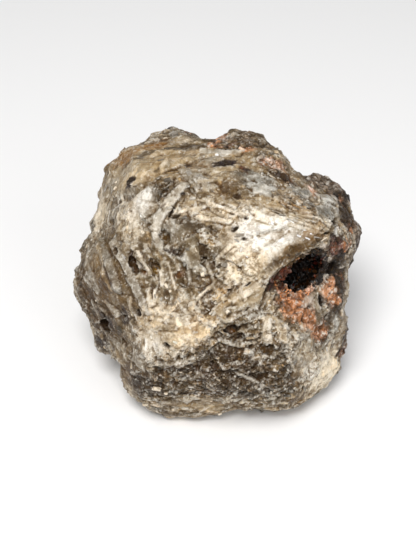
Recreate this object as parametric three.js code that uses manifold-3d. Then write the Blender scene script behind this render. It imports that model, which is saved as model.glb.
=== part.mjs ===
// A celestite cluster: one broken lump of interlocking bladed crystals grown on a knobbly rind of
// host rock, resting on a flat fracture, with an open vug in its broad face lined with a dark druse.
//
// The solids are modelled in the frame of the broad face: U runs across it, V up it and W out of
// it. A group then leans that frame back, so that the exported group has +Z up, in millimetres.
import * as THREE from "three";
import { mergeVertices } from "three/addons/utils/BufferGeometryUtils.js";
import Module from "manifold-3d";

const wasm = await Module();
wasm.setup();

// ---- Driving dimensions, in millimetres and degrees ----

const FACE_LEAN = 50; // how far the broad face leans back from upright
const FRONT_DEPTH = 33; // from the outline's plane to the top of the broad face
const BACK_DEPTH = 33; // from the outline's plane to the back of the lump
const FULLNESS = 2.5; // exponent of the cross-section: 2 is an ellipse, more is boxier
const BASE_LEVEL = -44.5; // height up the broad face where the base's plane crosses W = 0
const RIM_FADE = 34; // degrees from the outline's plane over which the outline's notches fade out
const EYE = [-2.9, -2, 362]; // the point that the places on the face are seen from
const GRID_CELLS = 22; // cells across each half of the lump's grid
const JITTER = 0.7; // how far the fracture's facets stand in or out
const GAP = 0.35; // clearance between the vug's wall and the druse
const DRUSE_THICKNESS = 1.1;

// The lump's outline as seen square on, counter-clockwise from the right.
const OUTLINE = [
  [40, 0], [44.5, 9.5], [45, 13], [41.5, 16.5], [42, 22.5], [39.5, 24.5], [38, 26.5],
  [35.5, 27.5], [32.5, 30.5], [30.5, 30.5], [27.5, 28.5], [24, 28.5], [21.5, 33], [20, 37],
  [15.5, 39.5], [14.5, 42], [12.5, 43], [4.5, 43.5], [1.5, 42.5], [-0.5, 40.5], [-4, 39.5],
  [-7.5, 43], [-14.5, 45], [-17.5, 43.5], [-21, 43], [-23.5, 39], [-29, 38], [-35, 32.5],
  [-37, 20.5], [-39, 15], [-38.5, 12], [-40.5, 9.5], [-41, 4.5], [-43.5, 0], [-45, -4],
  [-45, -7], [-40.5, -13], [-37.5, -23.5], [-35.5, -25], [-31.5, -26.5], [-30, -28],
  [-28, -37.5], [-18.5, -44], [-9.5, -45], [-1.5, -44.5], [2.5, -43], [10.5, -42],
  [18.5, -43], [26, -41.5], [31, -38], [34.5, -35.5], [39.5, -31.5], [38.5, -27], [40, -25],
  [40, -18], [39, -10.5], [40, -7], [39, -3.5],
];

// Flat fractures across the lump: [angle round the face, tilt towards the face, distance out].
const FRACTURES = [
  [268, 34, 40.5], [205, 30, 39], [160, 30, 38.5], [95, 34, 38.5], [40, 30, 39.5], [330, 33, 40],
  [10, -40, 34], [70, -46, 32.5], [130, -40, 37.5], [195, -40, 35], [250, -34, 39.5], [20, -86, 28.5],
];

// Broad swells and hollows of the face: [centre u, v, radius along, radius across, turn, rise].
const RELIEF = [
  [13, 12, 22, 8, 22, 2.6], // crest of white crystals
  [31, 11.5, 8, 5, 20, 2.6], // the crest's end, over the vug
  [28, -4.5, 11, 8, 40, -4], // basin around the vug
  [31, -18, 8, 9, 70, -1.6], // stained host rock below the vug
  [-4, 4.5, 8, 9, 0, -2.8], // grey hollow in the middle
  [-12, -19, 12, 9, 10, 2.6], // cream shoulder
  [-33, -15, 8, 10, 60, -2.4], // hollow low on the left
  [-35, 6, 5, 12, 20, 0.8], // left flank's ridge
  [4, -33, 26, 4.5, 0, 1.4], // lower ledge
  [-24, 29, 12, 5, 32, 1.6], // upper left shoulder
  [13, 29, 14, 5, -12, -2], // trough below the top rim
  [6, -22, 10, 6, 0, -1.2], // dark band under the middle
];

// Places on the face from here on are those seen from EYE, in the outline's plane.

// Slabs of crystal with straight broken sides, standing out of the face: their corners and rise.
const SLABS = {
  cream_block: { rise: 1.7, corners: [[-26.5, -16], [-21, -11.5], [-14, -12.5], [-4, -14.5], [-1.5, -20],
    [-4, -26], [-12, -30], [-21, -28], [-26, -23]] },
  vug_lip: { rise: 1.9, corners: [[13, -7.5], [14, -3], [22, 2.5], [31, 8], [36.5, 12], [35, 15],
    [25.5, 13.5], [14, 6.5], [7, -3], [8.5, -8]] },
  crest_slab: { rise: 1.1, corners: [[2, 10], [12, 12], [24, 14], [33, 16.5], [28, 20.5], [14, 20],
    [3, 17.5]] },
  leaf_slab: { rise: 1.2, corners: [[-12, 33], [-4, 31.5], [-0.5, 26], [-6, 26.5]] },
  tan_slab: { rise: 1.3, corners: [[-3.5, 32], [6.5, 33], [6, 29], [-2, 28.5]] },
  blue_facet: { rise: 1.2, corners: [[10, 28], [15, 28.5], [19, 24], [13, 22.5]] },
  pale_block: { rise: 1.9, corners: [[31, 22.5], [34.5, 24], [37.5, 22], [36, 19.5], [31.5, 19.5]] },
  grey_block: { rise: 1.6, corners: [[30, 19], [36, 19.2], [37.5, 17], [34.5, 13.5], [29.5, 15.5]] },
  corner_block: { rise: 1.6, corners: [[26, -27], [33, -26], [38, -29.5], [34, -34.5], [27, -34]] },
  lower_left_slab: { rise: 1.3, corners: [[-27.5, -25], [-23, -24.5], [-21, -30], [-26.5, -32]] },
  shoulder_slab: { rise: 1.2, corners: [[-34, 27], [-24, 34], [-14, 36.5], [-8, 36], [-16, 32],
    [-26, 27], [-32, 23]] },
  apron_slab: { rise: 1.2, corners: [[-16, -36.5], [-4, -35.5], [8, -34.5], [20, -35], [14, -38.5],
    [-2, -40], [-12, -39.5]] },
};

// Single blades lying in the face: [from u, v, to u, v, width, rise].
const BLADES = [
  [-32.5, 9.5, -21, -13.5, 2.6, 1.3], [-37, 10, -31, -6, 2.8, 0.9], [-25.5, 6, -20.5, -2, 1.6, 1.2],
  [-9.5, 27.5, -18, 18, 3.2, 1.3], [-18, 18.5, -20, 10.5, 2.8, 1.4], [-20, 10.5, -16.5, 5, 2.4, 1.2],
  [-16, 17.5, -11, 8.5, 3.8, 1.3], [-16, 7, -4, -0.5, 2.8, 1.5], [-9.5, 8.5, -5.5, 1.5, 3.6, 0.9],
  [-10, 23.5, 0.5, 20, 2.4, 0.9], [7, 24.5, 21, 18, 1.9, 1], [10, 21, 27, 14, 2.2, 1.1],
  [-1, 20.5, 14, 15, 2.4, 1], [18, 23.5, 33, 14.5, 2.4, 1], [-28.5, 26.5, -14.5, 34.5, 2.6, 1],
  [-21, 36.5, -5, 38, 2.6, 0.8], [7, -9, 15.5, -3, 3.2, 1.3], [1.5, -12.5, 14, -8, 2.6, 1.2],
  [16, -14.5, 15.5, -22, 3, 1.2], [12.5, -14, 11, -21, 2.2, 1], [20, -16, 21, -23.5, 2.4, 1.2],
  [-1, -28, 18, -31, 2.6, 1], [-21, -35.5, -8.5, -39.5, 3, 1], [-38, -6, -33, -15, 3, 1.2],
  [-33, -9, -28.5, -20, 2.4, 1], [-22, -5, -20.5, -12, 2, 1], [-18.5, -5, -18, -12, 2, 1.1],
  [-29, 20, -31, 12, 2.6, 0.9], [-25, 24, -21.5, 15, 2.4, 0.9], [2, 1, 8, 8, 2.2, 1],
  [-2, -5, 6, -2, 2.2, 0.9], [-12, -5, -4, -9, 2.4, 1],
];

// Small open pits between the blades: [u, v, half length, half width, turn, depth].
const PITS = [
  [-26, 2, 3.4, 1.8, -70, 3], [-19.5, 1.5, 2.8, 2, -60, 3], [-16.5, 11, 2.4, 1.8, -40, 2.4],
  [-11.5, 6.2, 3, 1.5, -25, 2.6], [-32.2, 14, 2.2, 1.4, 80, 2.6], [4, -17.5, 2.6, 1.8, -10, 3],
  [15.5, -24.5, 3, 2, -10, 2.6], [-34.5, -17, 3.2, 2.6, 20, 3], [-25.2, -11.8, 2.8, 1.3, -65, 2.4],
  [32, -9, 2.6, 1.2, -68, 3.6], [36, 0.9, 3.6, 2.1, 5, 3.4], [36.2, 13.8, 3, 1.1, 60, 3],
];

// The vug: an open hollow under the crest's end, longest up to the right.
const VUG = { u: 24.6, v: -0.9, below: 4, along: 10.8, across: 6.9, deep: 9.2, turn: 36 };

// Rounded knobs of host rock along the top and right rims: [u, v, w, radius].
const RIM_KNOBS = [
  [-14, 38.5, -3, 6.4], [-18.6, 38.6, -2, 4.4], [-9.5, 38.2, -3, 4.6], [4.5, 38, -2, 5.2],
  [9, 38.5, -4, 4.6], [12, 38.8, -1, 4], [16.5, 34, -2, 4.6], [32, 25.8, 0, 4.4],
  [35, 24, 1.5, 3.8], [38, 21.8, -1, 3.8], [38.5, 17, 2, 3.6], [40.5, 12.5, -2, 4.8],
  [40, 8, 0, 4.2], [36.5, 3.5, -4, 5.4], [36.5, -8, 0, 3.6], [36, -16, -2, 4.4],
  [36.5, -23, -2, 3.8],
];
const BACK_KNOBS = 14;
const SIDE_BLADES = 17;
const FACE_CHIPS = 12;

const RAD = Math.PI / 180;

// ---- Small helpers ----

// A repeatable stream of numbers from 0 to 1.
function stream(seed) {
  let state = seed;
  return () => {
    state = (state + 0x6d2b79f5) | 0;
    let t = Math.imul(state ^ (state >>> 15), 1 | state);
    t = (t + Math.imul(t ^ (t >>> 7), 61 | t)) ^ t;
    return ((t ^ (t >>> 14)) >>> 0) / 4294967296;
  };
}

// Smooth noise from -1 to 1, as a sum of crossed waves.
function swell(u, v, w) {
  return (Math.sin(0.31 * u + 0.17 * v + 1.3) * Math.cos(0.23 * v - 0.19 * w)
    + Math.sin(0.53 * v - 0.29 * u + 0.41 * w + 2.1) * 0.6
    + Math.sin(0.71 * w + 0.47 * u - 0.37 * v) * 0.4) / 2;
}

function smoothstep(low, high, x) {
  const t = THREE.MathUtils.clamp((x - low) / (high - low), 0, 1);
  return t * t * (3 - 2 * t);
}

// A closed geometry as a manifold-3d solid.
function solidOf(geometry) {
  const bare = geometry.index ? geometry.toNonIndexed() : geometry.clone();
  bare.deleteAttribute("normal");
  bare.deleteAttribute("uv");
  const merged = mergeVertices(bare, 1e-3);
  return new wasm.Manifold(new wasm.Mesh({
    numProp: 3,
    vertProperties: merged.attributes.position.array,
    triVerts: new Uint32Array(merged.index.array),
  }));
}

function geometryOf(solid) {
  const mesh = solid.getMesh();
  const geometry = new THREE.BufferGeometry()
    .setAttribute("position", new THREE.BufferAttribute(new Float32Array(mesh.vertProperties), 3))
    .setIndex(new THREE.BufferAttribute(new Uint32Array(mesh.triVerts), 1));
  geometry.computeVertexNormals();
  return geometry;
}

function geometryFrom(points, triangles) {
  return new THREE.BufferGeometry()
    .setAttribute("position", new THREE.Float32BufferAttribute(points.flat(), 3))
    .setIndex(triangles.flat());
}

const largest = (solid) => solid.decompose().reduce((a, b) => (b.volume() > a.volume() ? b : a));

// ---- The lump's surface ----

// Distance from the centre to the outline at an angle in radians.
function outlineRadius(angle) {
  const ray = [Math.cos(angle), Math.sin(angle)];
  let best = 0;
  OUTLINE.forEach(([u1, v1], i) => {
    const [u2, v2] = OUTLINE[(i + 1) % OUTLINE.length];
    const side = ray[0] * (v2 - v1) - ray[1] * (u2 - u1);
    const reach = (u1 * (v2 - v1) - v1 * (u2 - u1)) / side;
    const share = (u1 * ray[1] - v1 * ray[0]) / side;
    if (reach > 0 && share >= -1e-9 && share <= 1 + 1e-9) best = Math.max(best, reach);
  });
  return best;
}

// The outline with its notches evened out, for the lump's body away from the outline's plane.
function evenRadius(angle) {
  const spread = [-20, -12, -5, 0, 5, 12, 20];
  return spread.reduce((sum, d) => sum + outlineRadius(angle + d * RAD), 0) / spread.length;
}

function direction(angle, tilt) {
  return new THREE.Vector3(Math.cos(tilt) * Math.cos(angle), Math.cos(tilt) * Math.sin(angle),
    Math.sin(tilt));
}

const fracturePlanes = FRACTURES.map(([angle, tilt, distance]) => (
  { normal: direction(angle * RAD, tilt * RAD), distance }));

// A point of the lump in a direction: angle round the face, tilt out of the outline's plane.
function bodyPoint(angle, tilt) {
  const fade = Math.exp(-((tilt / (RIM_FADE * RAD)) ** 2));
  const rim = outlineRadius(angle) * fade + evenRadius(angle) * (1 - fade);
  const depth = tilt > 0 ? FRONT_DEPTH : BACK_DEPTH;
  const c = Math.cos(tilt) / rim;
  const s = Math.abs(Math.sin(tilt)) / depth;
  const round = (c ** FULLNESS + s ** FULLNESS) ** (-1 / FULLNESS);
  const out = direction(angle, tilt);
  const reaches = fracturePlanes.map(({ normal, distance }) => distance / Math.max(normal.dot(out), 0.01));
  return out.multiplyScalar(Math.min(round, ...reaches));
}

// An angle round the face, moved onto the outline's nearest corner where one is within reach.
function onCorner(angle) {
  const reach = Math.PI / (4 * GRID_CELLS);
  const gap = (corner) => Math.abs(Math.atan2(Math.sin(corner - angle), Math.cos(corner - angle)));
  const nearest = OUTLINE.map(([u, v]) => Math.atan2(v, u)).reduce((a, b) => (gap(b) < gap(a) ? b : a));
  return gap(nearest) < reach ? nearest : angle;
}

// How far the face swells out at a point, fading to nothing at the rim.
function relief(u, v) {
  const inside = Math.hypot(u, v) / evenRadius(Math.atan2(v, u));
  let rise = 0;
  for (const [cu, cv, along, across, turn, height] of RELIEF) {
    const c = Math.cos(turn * RAD);
    const s = Math.sin(turn * RAD);
    const a = ((u - cu) * c + (v - cv) * s) / along;
    const b = ((v - cv) * c - (u - cu) * s) / across;
    rise += height * Math.exp(-((a * a + b * b) ** 1.5));
  }
  return rise * (1 - smoothstep(0.82, 1, inside));
}

// Height of the face over the outline's plane.
function faceHeight(u, v) {
  const rim = evenRadius(Math.atan2(v, u));
  const inside = Math.min(Math.hypot(u, v) / rim, 0.999);
  const round = FRONT_DEPTH * (1 - inside ** FULLNESS) ** (1 / FULLNESS);
  const planes = fracturePlanes.filter(({ normal }) => normal.z > 0)
    .map(({ normal, distance }) => (distance - normal.x * u - normal.y * v) / normal.z);
  return Math.min(round, ...planes) + relief(u, v);
}

// The point of the face on the line from the eye to a place in the outline's plane.
function onFace(seenU, seenV) {
  let point = [seenU, seenV, 0];
  for (let turn = 0; turn < 6; turn++) {
    const nearer = 1 - faceHeight(point[0], point[1]) / EYE[2];
    point = [EYE[0] + (seenU - EYE[0]) * nearer, EYE[1] + (seenV - EYE[1]) * nearer];
  }
  return new THREE.Vector3(...point, faceHeight(...point));
}

function faceNormal(u, v) {
  const step = 1.5;
  const du = (faceHeight(u + step, v) - faceHeight(u - step, v)) / (2 * step);
  const dv = (faceHeight(u, v + step) - faceHeight(u, v - step)) / (2 * step);
  return new THREE.Vector3(-du, -dv, 1).normalize();
}

// ---- The lump's body ----

// One half of the lump as a square grid bent onto a disc: the front for side 1, the back for -1.
// Both halves share the points of the outline.
function lumpGeometry() {
  const noise = stream(11);
  const points = [];
  const triangles = [];
  const half = GRID_CELLS / 2;
  const rows = new Map();
  const vertex = (i, j, side) => {
    const a = i / half - 1;
    const b = j / half - 1;
    const ring = Math.max(Math.abs(a), Math.abs(b));
    const key = `${i},${j},${ring > 1 - 1e-9 ? 0 : side}`;
    if (rows.has(key)) return rows.get(key);
    // The quarter that a grid point is in says how far round its ring it lies.
    const round = Math.abs(a) >= Math.abs(b)
      ? (a >= 0 ? 0 : Math.PI) + (b / (a || 1)) * Math.PI / 4
      : (b >= 0 ? Math.PI / 2 : -Math.PI / 2) - (a / b) * Math.PI / 4;
    const point = bodyPoint(onCorner(round), (1 - ring) * (Math.PI / 2) * side);
    if (side > 0) point.z += relief(point.x, point.y) * smoothstep(0, 0.35, 1 - ring);
    const steady = ring > 1 - 1e-9 ? 0.25 : 1;
    const out = (JITTER * (noise() * 2 - 1) + 0.9 * swell(point.x, point.y, point.z)) * steady;
    points.push(point.setLength(point.length() + out).toArray());
    rows.set(key, points.length - 1);
    return points.length - 1;
  };
  for (const side of [1, -1]) {
    for (let i = 0; i < GRID_CELLS; i++) {
      for (let j = 0; j < GRID_CELLS; j++) {
        const quad = [vertex(i, j, side), vertex(i + 1, j, side), vertex(i + 1, j + 1, side),
          vertex(i, j + 1, side)];
        // The cut across each cell alternates, so that facets don't line up in rows.
        const turned = (i * 7 + j * 3) % 2 ? [quad[1], quad[2], quad[3], quad[0]] : quad;
        const cells = [[turned[0], turned[1], turned[2]], [turned[0], turned[2], turned[3]]];
        triangles.push(...cells.map((t) => (side > 0 ? t : t.toReversed())));
      }
    }
  }
  return geometryFrom(points, triangles);
}

// ---- Crystals ----

// A tabular crystal: a long six-sided plate with chisel ends, its length along X and its face to Z.
function plateGeometry(length, width, thickness) {
  const shoulder = length / 2 - width * 0.55;
  const outline = new THREE.Shape([
    new THREE.Vector2(-length / 2, 0), new THREE.Vector2(-shoulder, -width / 2),
    new THREE.Vector2(shoulder, -width / 2), new THREE.Vector2(length / 2, 0),
    new THREE.Vector2(shoulder, width / 2), new THREE.Vector2(-shoulder, width / 2),
  ]);
  return new THREE.ExtrudeGeometry(outline, { depth: thickness, bevelEnabled: false })
    .translate(0, 0, -thickness / 2);
}

// A plate lying along a line, its face turned to a normal and rolled about its length.
function plate(from, to, normal, width, thickness, roll) {
  const along = new THREE.Vector3().subVectors(to, from);
  const length = along.length();
  along.normalize();
  const across = new THREE.Vector3().crossVectors(normal, along).normalize();
  const out = new THREE.Vector3().crossVectors(along, across);
  const turn = new THREE.Matrix4().makeBasis(along, across, out)
    .multiply(new THREE.Matrix4().makeRotationX(roll))
    .setPosition(new THREE.Vector3().addVectors(from, to).multiplyScalar(0.5));
  return solidOf(plateGeometry(length, width, thickness).applyMatrix4(turn));
}

// The blades named above, each sunk into the face until only its rise stands out.
function faceBlades() {
  const noise = stream(23);
  return BLADES.map(([u1, v1, u2, v2, width, rise]) => {
    const thickness = 3.4;
    const ends = [onFace(u1, v1), onFace(u2, v2)];
    const middle = new THREE.Vector3().addVectors(...ends).multiplyScalar(0.5);
    const normal = faceNormal(middle.x, middle.y);
    const bulge = faceHeight(middle.x, middle.y) - middle.z;
    const lift = normal.clone().multiplyScalar(rise - thickness / 2);
    lift.z += 0.7 * bulge;
    ends.forEach((end) => end.add(lift));
    return plate(ends[0], ends[1], normal, width, thickness, (noise() - 0.5) * 0.7);
  });
}

// Short blades strewn over the face between the named ones.
function faceChips() {
  const noise = stream(57);
  return Array.from({ length: FACE_CHIPS }, (_, i) => {
    const spread = 0.86 * Math.sqrt((i + 0.5) / FACE_CHIPS);
    const angle = i * 2.39996 + 0.4;
    const reach = spread * evenRadius(angle);
    const centre = [reach * Math.cos(angle), reach * Math.sin(angle)];
    const clear = Math.hypot(centre[0] - VUG.u, centre[1] - VUG.v);
    if (clear < VUG.along + 4) return null;
    const normal = faceNormal(...centre);
    const heading = noise() * Math.PI;
    const half = 2.6 + 2.6 * noise();
    const along = new THREE.Vector3(Math.cos(heading), Math.sin(heading), 0);
    along.addScaledVector(normal, -along.dot(normal) + 0.25 * (noise() - 0.5)).normalize();
    const middle = new THREE.Vector3(...centre, faceHeight(...centre)).addScaledVector(normal, -0.5);
    const from = middle.clone().addScaledVector(along, -half);
    const to = middle.clone().addScaledVector(along, half);
    return plate(from, to, normal, 2.4 + noise(), 3, (noise() - 0.5) * 1.2);
  }).filter(Boolean);
}

// Blades on the left, the underside and the back, where the host rock doesn't cover the crystals.
function sideBlades() {
  const noise = stream(91);
  return Array.from({ length: SIDE_BLADES }, (_, i) => {
    const angle = (95 + 215 * ((i * 0.618) % 1)) * RAD;
    const tilt = -(4 + 66 * noise()) * RAD;
    const centre = bodyPoint(angle, tilt);
    const normal = centre.clone().normalize();
    const heading = new THREE.Vector3(noise() - 0.5, noise() - 0.5, noise() - 0.5);
    heading.addScaledVector(normal, -heading.dot(normal)).normalize();
    heading.addScaledVector(normal, 0.3 * (noise() - 0.5));
    const half = 3.5 + 5 * noise();
    centre.addScaledVector(normal, -0.7);
    const from = centre.clone().addScaledVector(heading, -half);
    const to = centre.clone().addScaledVector(heading, half);
    return plate(from, to, normal, 2.4 + 1.8 * noise(), 3.4, (noise() - 0.5) * 1.2);
  });
}

// A slab with straight broken sides, its top following the face a little above it.
function slab({ corners, rise }) {
  const depth = 5;
  const n = corners.length;
  const middle = corners.reduce(([a, b], [u, v]) => [a + u / n, b + v / n], [0, 0]);
  const ring = [...corners, middle].map(([u, v]) => onFace(u, v));
  const stand = (i) => rise * (i === n ? 1.35 : 0.8 + 0.4 * (i % 2));
  const top = ring.map(({ x, y, z }, i) => [x, y, z + stand(i)]);
  const bottom = ring.map(({ x, y, z }) => [x, y, z - depth]);
  // The corners run counter-clockwise or clockwise; the faces have to point out either way.
  const area = corners.reduce((sum, [u, v], i) => {
    const [u2, v2] = corners[(i + 1) % n];
    return sum + u * v2 - v * u2;
  }, 0);
  const triangles = [];
  for (let i = 0; i < n; i++) {
    const j = (i + 1) % n;
    const low = n + 1;
    triangles.push([i, j, n], [low + j, low + i, low + n], [i, low + i, low + j], [i, low + j, j]);
  }
  const outward = area > 0 ? triangles : triangles.map((t) => t.toReversed());
  return solidOf(geometryFrom([...top, ...bottom], outward));
}

// ---- Host rock ----

function knob(centre, radius, noise) {
  const ball = mergeVertices(new THREE.IcosahedronGeometry(radius, 1).deleteAttribute("normal")
    .deleteAttribute("uv"), 1e-3);
  const position = ball.attributes.position;
  const p = new THREE.Vector3();
  for (let i = 0; i < position.count; i++) {
    p.fromBufferAttribute(position, i).multiplyScalar(1 + 0.16 * (noise() - 0.5));
    position.setXYZ(i, p.x, p.y, p.z);
  }
  return solidOf(ball.rotateX(noise() * 6).rotateY(noise() * 6).translate(...centre));
}

function rimKnobs() {
  const noise = stream(7);
  return RIM_KNOBS.map(([u, v, w, radius]) => knob([u, v, w], radius, noise));
}

// Knobs all over the back and the upper right, sunk so that about a third of each shows.
function backKnobs() {
  const noise = stream(31);
  return Array.from({ length: BACK_KNOBS }, (_, i) => {
    const tilt = -(14 + 74 * ((i + 0.5) / BACK_KNOBS)) * RAD;
    const angle = i * 2.39996 + 0.9;
    const radius = 5 + 4 * noise();
    const point = bodyPoint(angle, tilt);
    return knob(point.setLength(point.length() - radius * 0.6).toArray(), radius, noise);
  });
}

// ---- Hollows ----

// A faceted bowl shape: a rough ball stretched along three axes, turned in the plane of the face.
function hollow(centre, along, across, deep, turn, roughness, seed, detail) {
  const noise = stream(seed);
  const ball = mergeVertices(new THREE.IcosahedronGeometry(1, detail).deleteAttribute("normal")
    .deleteAttribute("uv"), 1e-3);
  const position = ball.attributes.position;
  const p = new THREE.Vector3();
  for (let i = 0; i < position.count; i++) {
    p.fromBufferAttribute(position, i).multiplyScalar(1 + roughness * (noise() - 0.5));
    position.setXYZ(i, p.x, p.y, p.z);
  }
  return ball.scale(along, across, deep).rotateZ(turn * RAD).translate(...centre);
}

function pits() {
  return PITS.map(([u, v, along, across, turn, depth], i) => solidOf(
    hollow(onFace(u, v).toArray(), along, across, depth, turn, 0.5, 100 + i, 0)));
}

const vugCentre = onFace(VUG.u, VUG.v).add(new THREE.Vector3(0, 0, -VUG.below)).toArray();

// The vug's wall, moved inwards by an inset.
function vugWall(inset) {
  return solidOf(hollow(vugCentre, VUG.along - inset, VUG.across - inset, VUG.deep - inset, VUG.turn,
    0.14, 5, 1));
}

// The pointed crystals of the druse, growing from the vug's wall towards its middle.
function druseCrystals() {
  const noise = stream(71);
  const count = 32;
  const middle = new THREE.Vector3(...vugCentre);
  return Array.from({ length: count }, (_, i) => {
    // A spiral over the lower part of the wall, away from the mouth.
    const height = -1 + 1.25 * ((i + 0.5) / count);
    const round = Math.sqrt(1 - height * height);
    const angle = i * 2.39996;
    const inset = GAP + DRUSE_THICKNESS * 0.6;
    const root = new THREE.Vector3(round * Math.cos(angle) * (VUG.along - inset),
      round * Math.sin(angle) * (VUG.across - inset), height * (VUG.deep - inset))
      .applyAxisAngle(new THREE.Vector3(0, 0, 1), VUG.turn * RAD);
    const inwards = root.clone().negate().normalize();
    inwards.x += 0.5 * (noise() - 0.5);
    inwards.y += 0.5 * (noise() - 0.5);
    const radius = 0.6 + 0.45 * noise();
    const length = 1.5 + 0.9 * noise();
    const point = new THREE.ConeGeometry(radius, length, 4).rotateY(noise() * 3).translate(0, length / 2, 0);
    point.applyQuaternion(new THREE.Quaternion().setFromUnitVectors(
      new THREE.Vector3(0, 1, 0), inwards.normalize()));
    return solidOf(point.translate(...root.add(middle)));
  });
}

// ---- The two pieces ----

function material(color, roughness) {
  return new THREE.MeshStandardMaterial({ color, roughness, metalness: 0 });
}

// Everything below the base's plane, as a block in the frame of the face.
function belowBase() {
  const size = 400;
  const block = new THREE.BoxGeometry(size, size, size).translate(0, 0, -size / 2);
  block.rotateX(-FACE_LEAN * RAD).translate(0, BASE_LEVEL, 0);
  return solidOf(block);
}

function build() {
  let lump = solidOf(lumpGeometry());
  const growths = [...Object.values(SLABS).map(slab), ...faceBlades(), ...faceChips(), ...sideBlades(),
    ...rimKnobs(), ...backKnobs()];
  lump = wasm.Manifold.union([lump, ...growths]);
  lump = lump.subtract(wasm.Manifold.union(pits())).subtract(belowBase());

  const wall = vugWall(0);
  const room = vugWall(GAP).intersect(lump);
  const druse = wasm.Manifold.union([room.subtract(vugWall(GAP + DRUSE_THICKNESS)), ...druseCrystals()])
    .intersect(room);

  const mass = new THREE.Mesh(geometryOf(largest(lump.subtract(wall))), material(0xc9bfae, 0.6));
  mass.name = "celestite_mass";
  const lining = new THREE.Mesh(geometryOf(largest(druse)), material(0x2a1c18, 0.3));
  lining.name = "vug_druse";

  // The face leans back, and the group then stands with its box's bottom centre at the origin.
  const leaning = new THREE.Group();
  leaning.rotation.x = FACE_LEAN * RAD;
  leaning.add(mass, lining);
  const cluster = new THREE.Group();
  cluster.add(leaning);
  const box = new THREE.Box3().setFromObject(cluster, true);
  leaning.position.set(-(box.min.x + box.max.x) / 2, -(box.min.y + box.max.y) / 2, -box.min.z);
  return cluster;
}

export default build();
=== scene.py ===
"""The looks of the celestite cluster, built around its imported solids.

Lengths are in millimetres until a mesh is made. "Face" coordinates are those of the lump's broad
face: U across it, V up it and W out of it. A place on the face is given by the pixel of the
photograph where it shows, and a sight line from the camera carries it onto the solid.
"""
import itertools
import math

import bmesh
import bpy
import numpy as np
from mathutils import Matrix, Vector
from mathutils.bvhtree import BVHTree
from mathutils.kdtree import KDTree


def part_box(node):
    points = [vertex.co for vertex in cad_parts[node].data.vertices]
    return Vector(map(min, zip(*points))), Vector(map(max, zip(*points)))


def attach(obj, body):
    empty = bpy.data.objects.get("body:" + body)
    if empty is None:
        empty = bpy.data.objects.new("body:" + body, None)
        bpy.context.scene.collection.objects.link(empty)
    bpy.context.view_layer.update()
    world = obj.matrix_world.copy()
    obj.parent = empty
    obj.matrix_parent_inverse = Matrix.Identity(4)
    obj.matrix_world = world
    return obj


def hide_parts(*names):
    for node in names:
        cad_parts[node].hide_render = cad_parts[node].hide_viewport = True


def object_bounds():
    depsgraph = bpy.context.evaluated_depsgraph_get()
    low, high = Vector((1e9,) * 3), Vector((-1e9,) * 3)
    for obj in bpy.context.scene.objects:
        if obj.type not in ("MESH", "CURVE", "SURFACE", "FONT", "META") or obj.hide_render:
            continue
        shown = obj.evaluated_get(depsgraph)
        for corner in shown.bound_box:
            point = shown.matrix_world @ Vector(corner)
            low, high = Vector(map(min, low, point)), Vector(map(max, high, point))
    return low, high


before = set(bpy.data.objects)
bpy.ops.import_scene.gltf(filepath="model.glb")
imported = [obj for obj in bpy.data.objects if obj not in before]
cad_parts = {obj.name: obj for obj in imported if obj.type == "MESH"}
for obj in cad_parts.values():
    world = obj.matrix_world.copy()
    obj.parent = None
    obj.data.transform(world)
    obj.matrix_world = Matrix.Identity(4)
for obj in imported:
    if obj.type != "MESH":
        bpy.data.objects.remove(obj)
cad_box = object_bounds()

# ---- Driving dimensions, in millimetres and degrees ----

ELEVATION = 40.0  # of the camera, and of the line square to the broad face
FACE_ORIGIN = np.array([-0.23, 2.35, 34.09])  # middle of the face's outline, in the row's frame
CAMERA_DISTANCE = 360.0
CAMERA_OFFSET = (-2.94, -2.0)  # right of and above the face's origin
LENS = 75.0
SENSOR = 36.0  # of the picture's long side
PICTURE = (416, 555)
PIXEL = 0.3093  # across a pixel of the photograph, at the face's origin

ROCK_VOXEL = 0.9  # halved again on the face
CRUST_VOXEL = 0.3
RIM = 45.0  # the outline's greatest reach
DEPTH = 38.0  # from the broad face's outline to the back, about
AREA = 26000  # about the lump's surface, in square millimetres
BLADES_TRIED, GRAINS_TRIED = 300, 9000  # strewn over the lump, before those that would lie wrong are left out
DRUSE_CRYSTALS = 420  # inside the vug, and as many again round its mouth
HAIR = 1e-5  # how far inside the solids' box the scene's meshes stay, in metres

# Crystals that the skin breaks into:
# [spacing, step between them, slope, crevice's depth, the painted shade and brown staining in it, how much
# their brightness varies].
SHARDS = [[5.2, 0.45, 0.25, 0.30, 0.5, 0.2], [2.4, 0.30, 0.38, 0.28, 0.9, 0.38],
          [1.2, 0.16, 0.45, 0.12, 0.8, 0.38]]
SLIMMEST = 2.6  # a shard's length over its width, at most
RIVALS = 6  # shards that each point may belong to
SETTLING = 0.7  # how far a shard's colours gather to its middle, to step at its edges
KNOB = 3.4  # spacing of the rind's knobs
VUG_CLEARANCE = (0.4, 2.0)  # from the crust, over which the skin's relief rises from nothing to all
FAR = 3.0  # from the crust, past which it no longer matters

RAD = math.pi / 180

# ---- Colours, as they look in soft light ----

PALETTE = {
    "white": (250, 247, 241), "milk": (240, 229, 212), "ivory": (252, 242, 224), "cream": (234, 216, 188),
    "ash": (184, 178, 168), "grey": (144, 130, 106), "slate": (94, 79, 56), "steel": (146, 144, 138),
    "ice": (192, 190, 184), "stone": (174, 163, 146), "tan": (176, 156, 124), "sand": (194, 178, 152),
    "ochre": (160, 124, 72), "olive": (118, 95, 54), "moss": (104, 82, 48), "umber": (108, 82, 48),
    "brown": (88, 64, 42), "peat": (58, 38, 20), "purple": (58, 40, 46), "black": (14, 11, 10),
    "orange": (216, 162, 122), "salmon": (222, 188, 168), "wine": (100, 50, 44), "rust": (120, 66, 34),
    "yellow": (176, 144, 40), "amber": (146, 108, 62), "rind": (132, 112, 98), "bark": (66, 52, 44),
    "chalk": (190, 178, 166),
}


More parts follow.
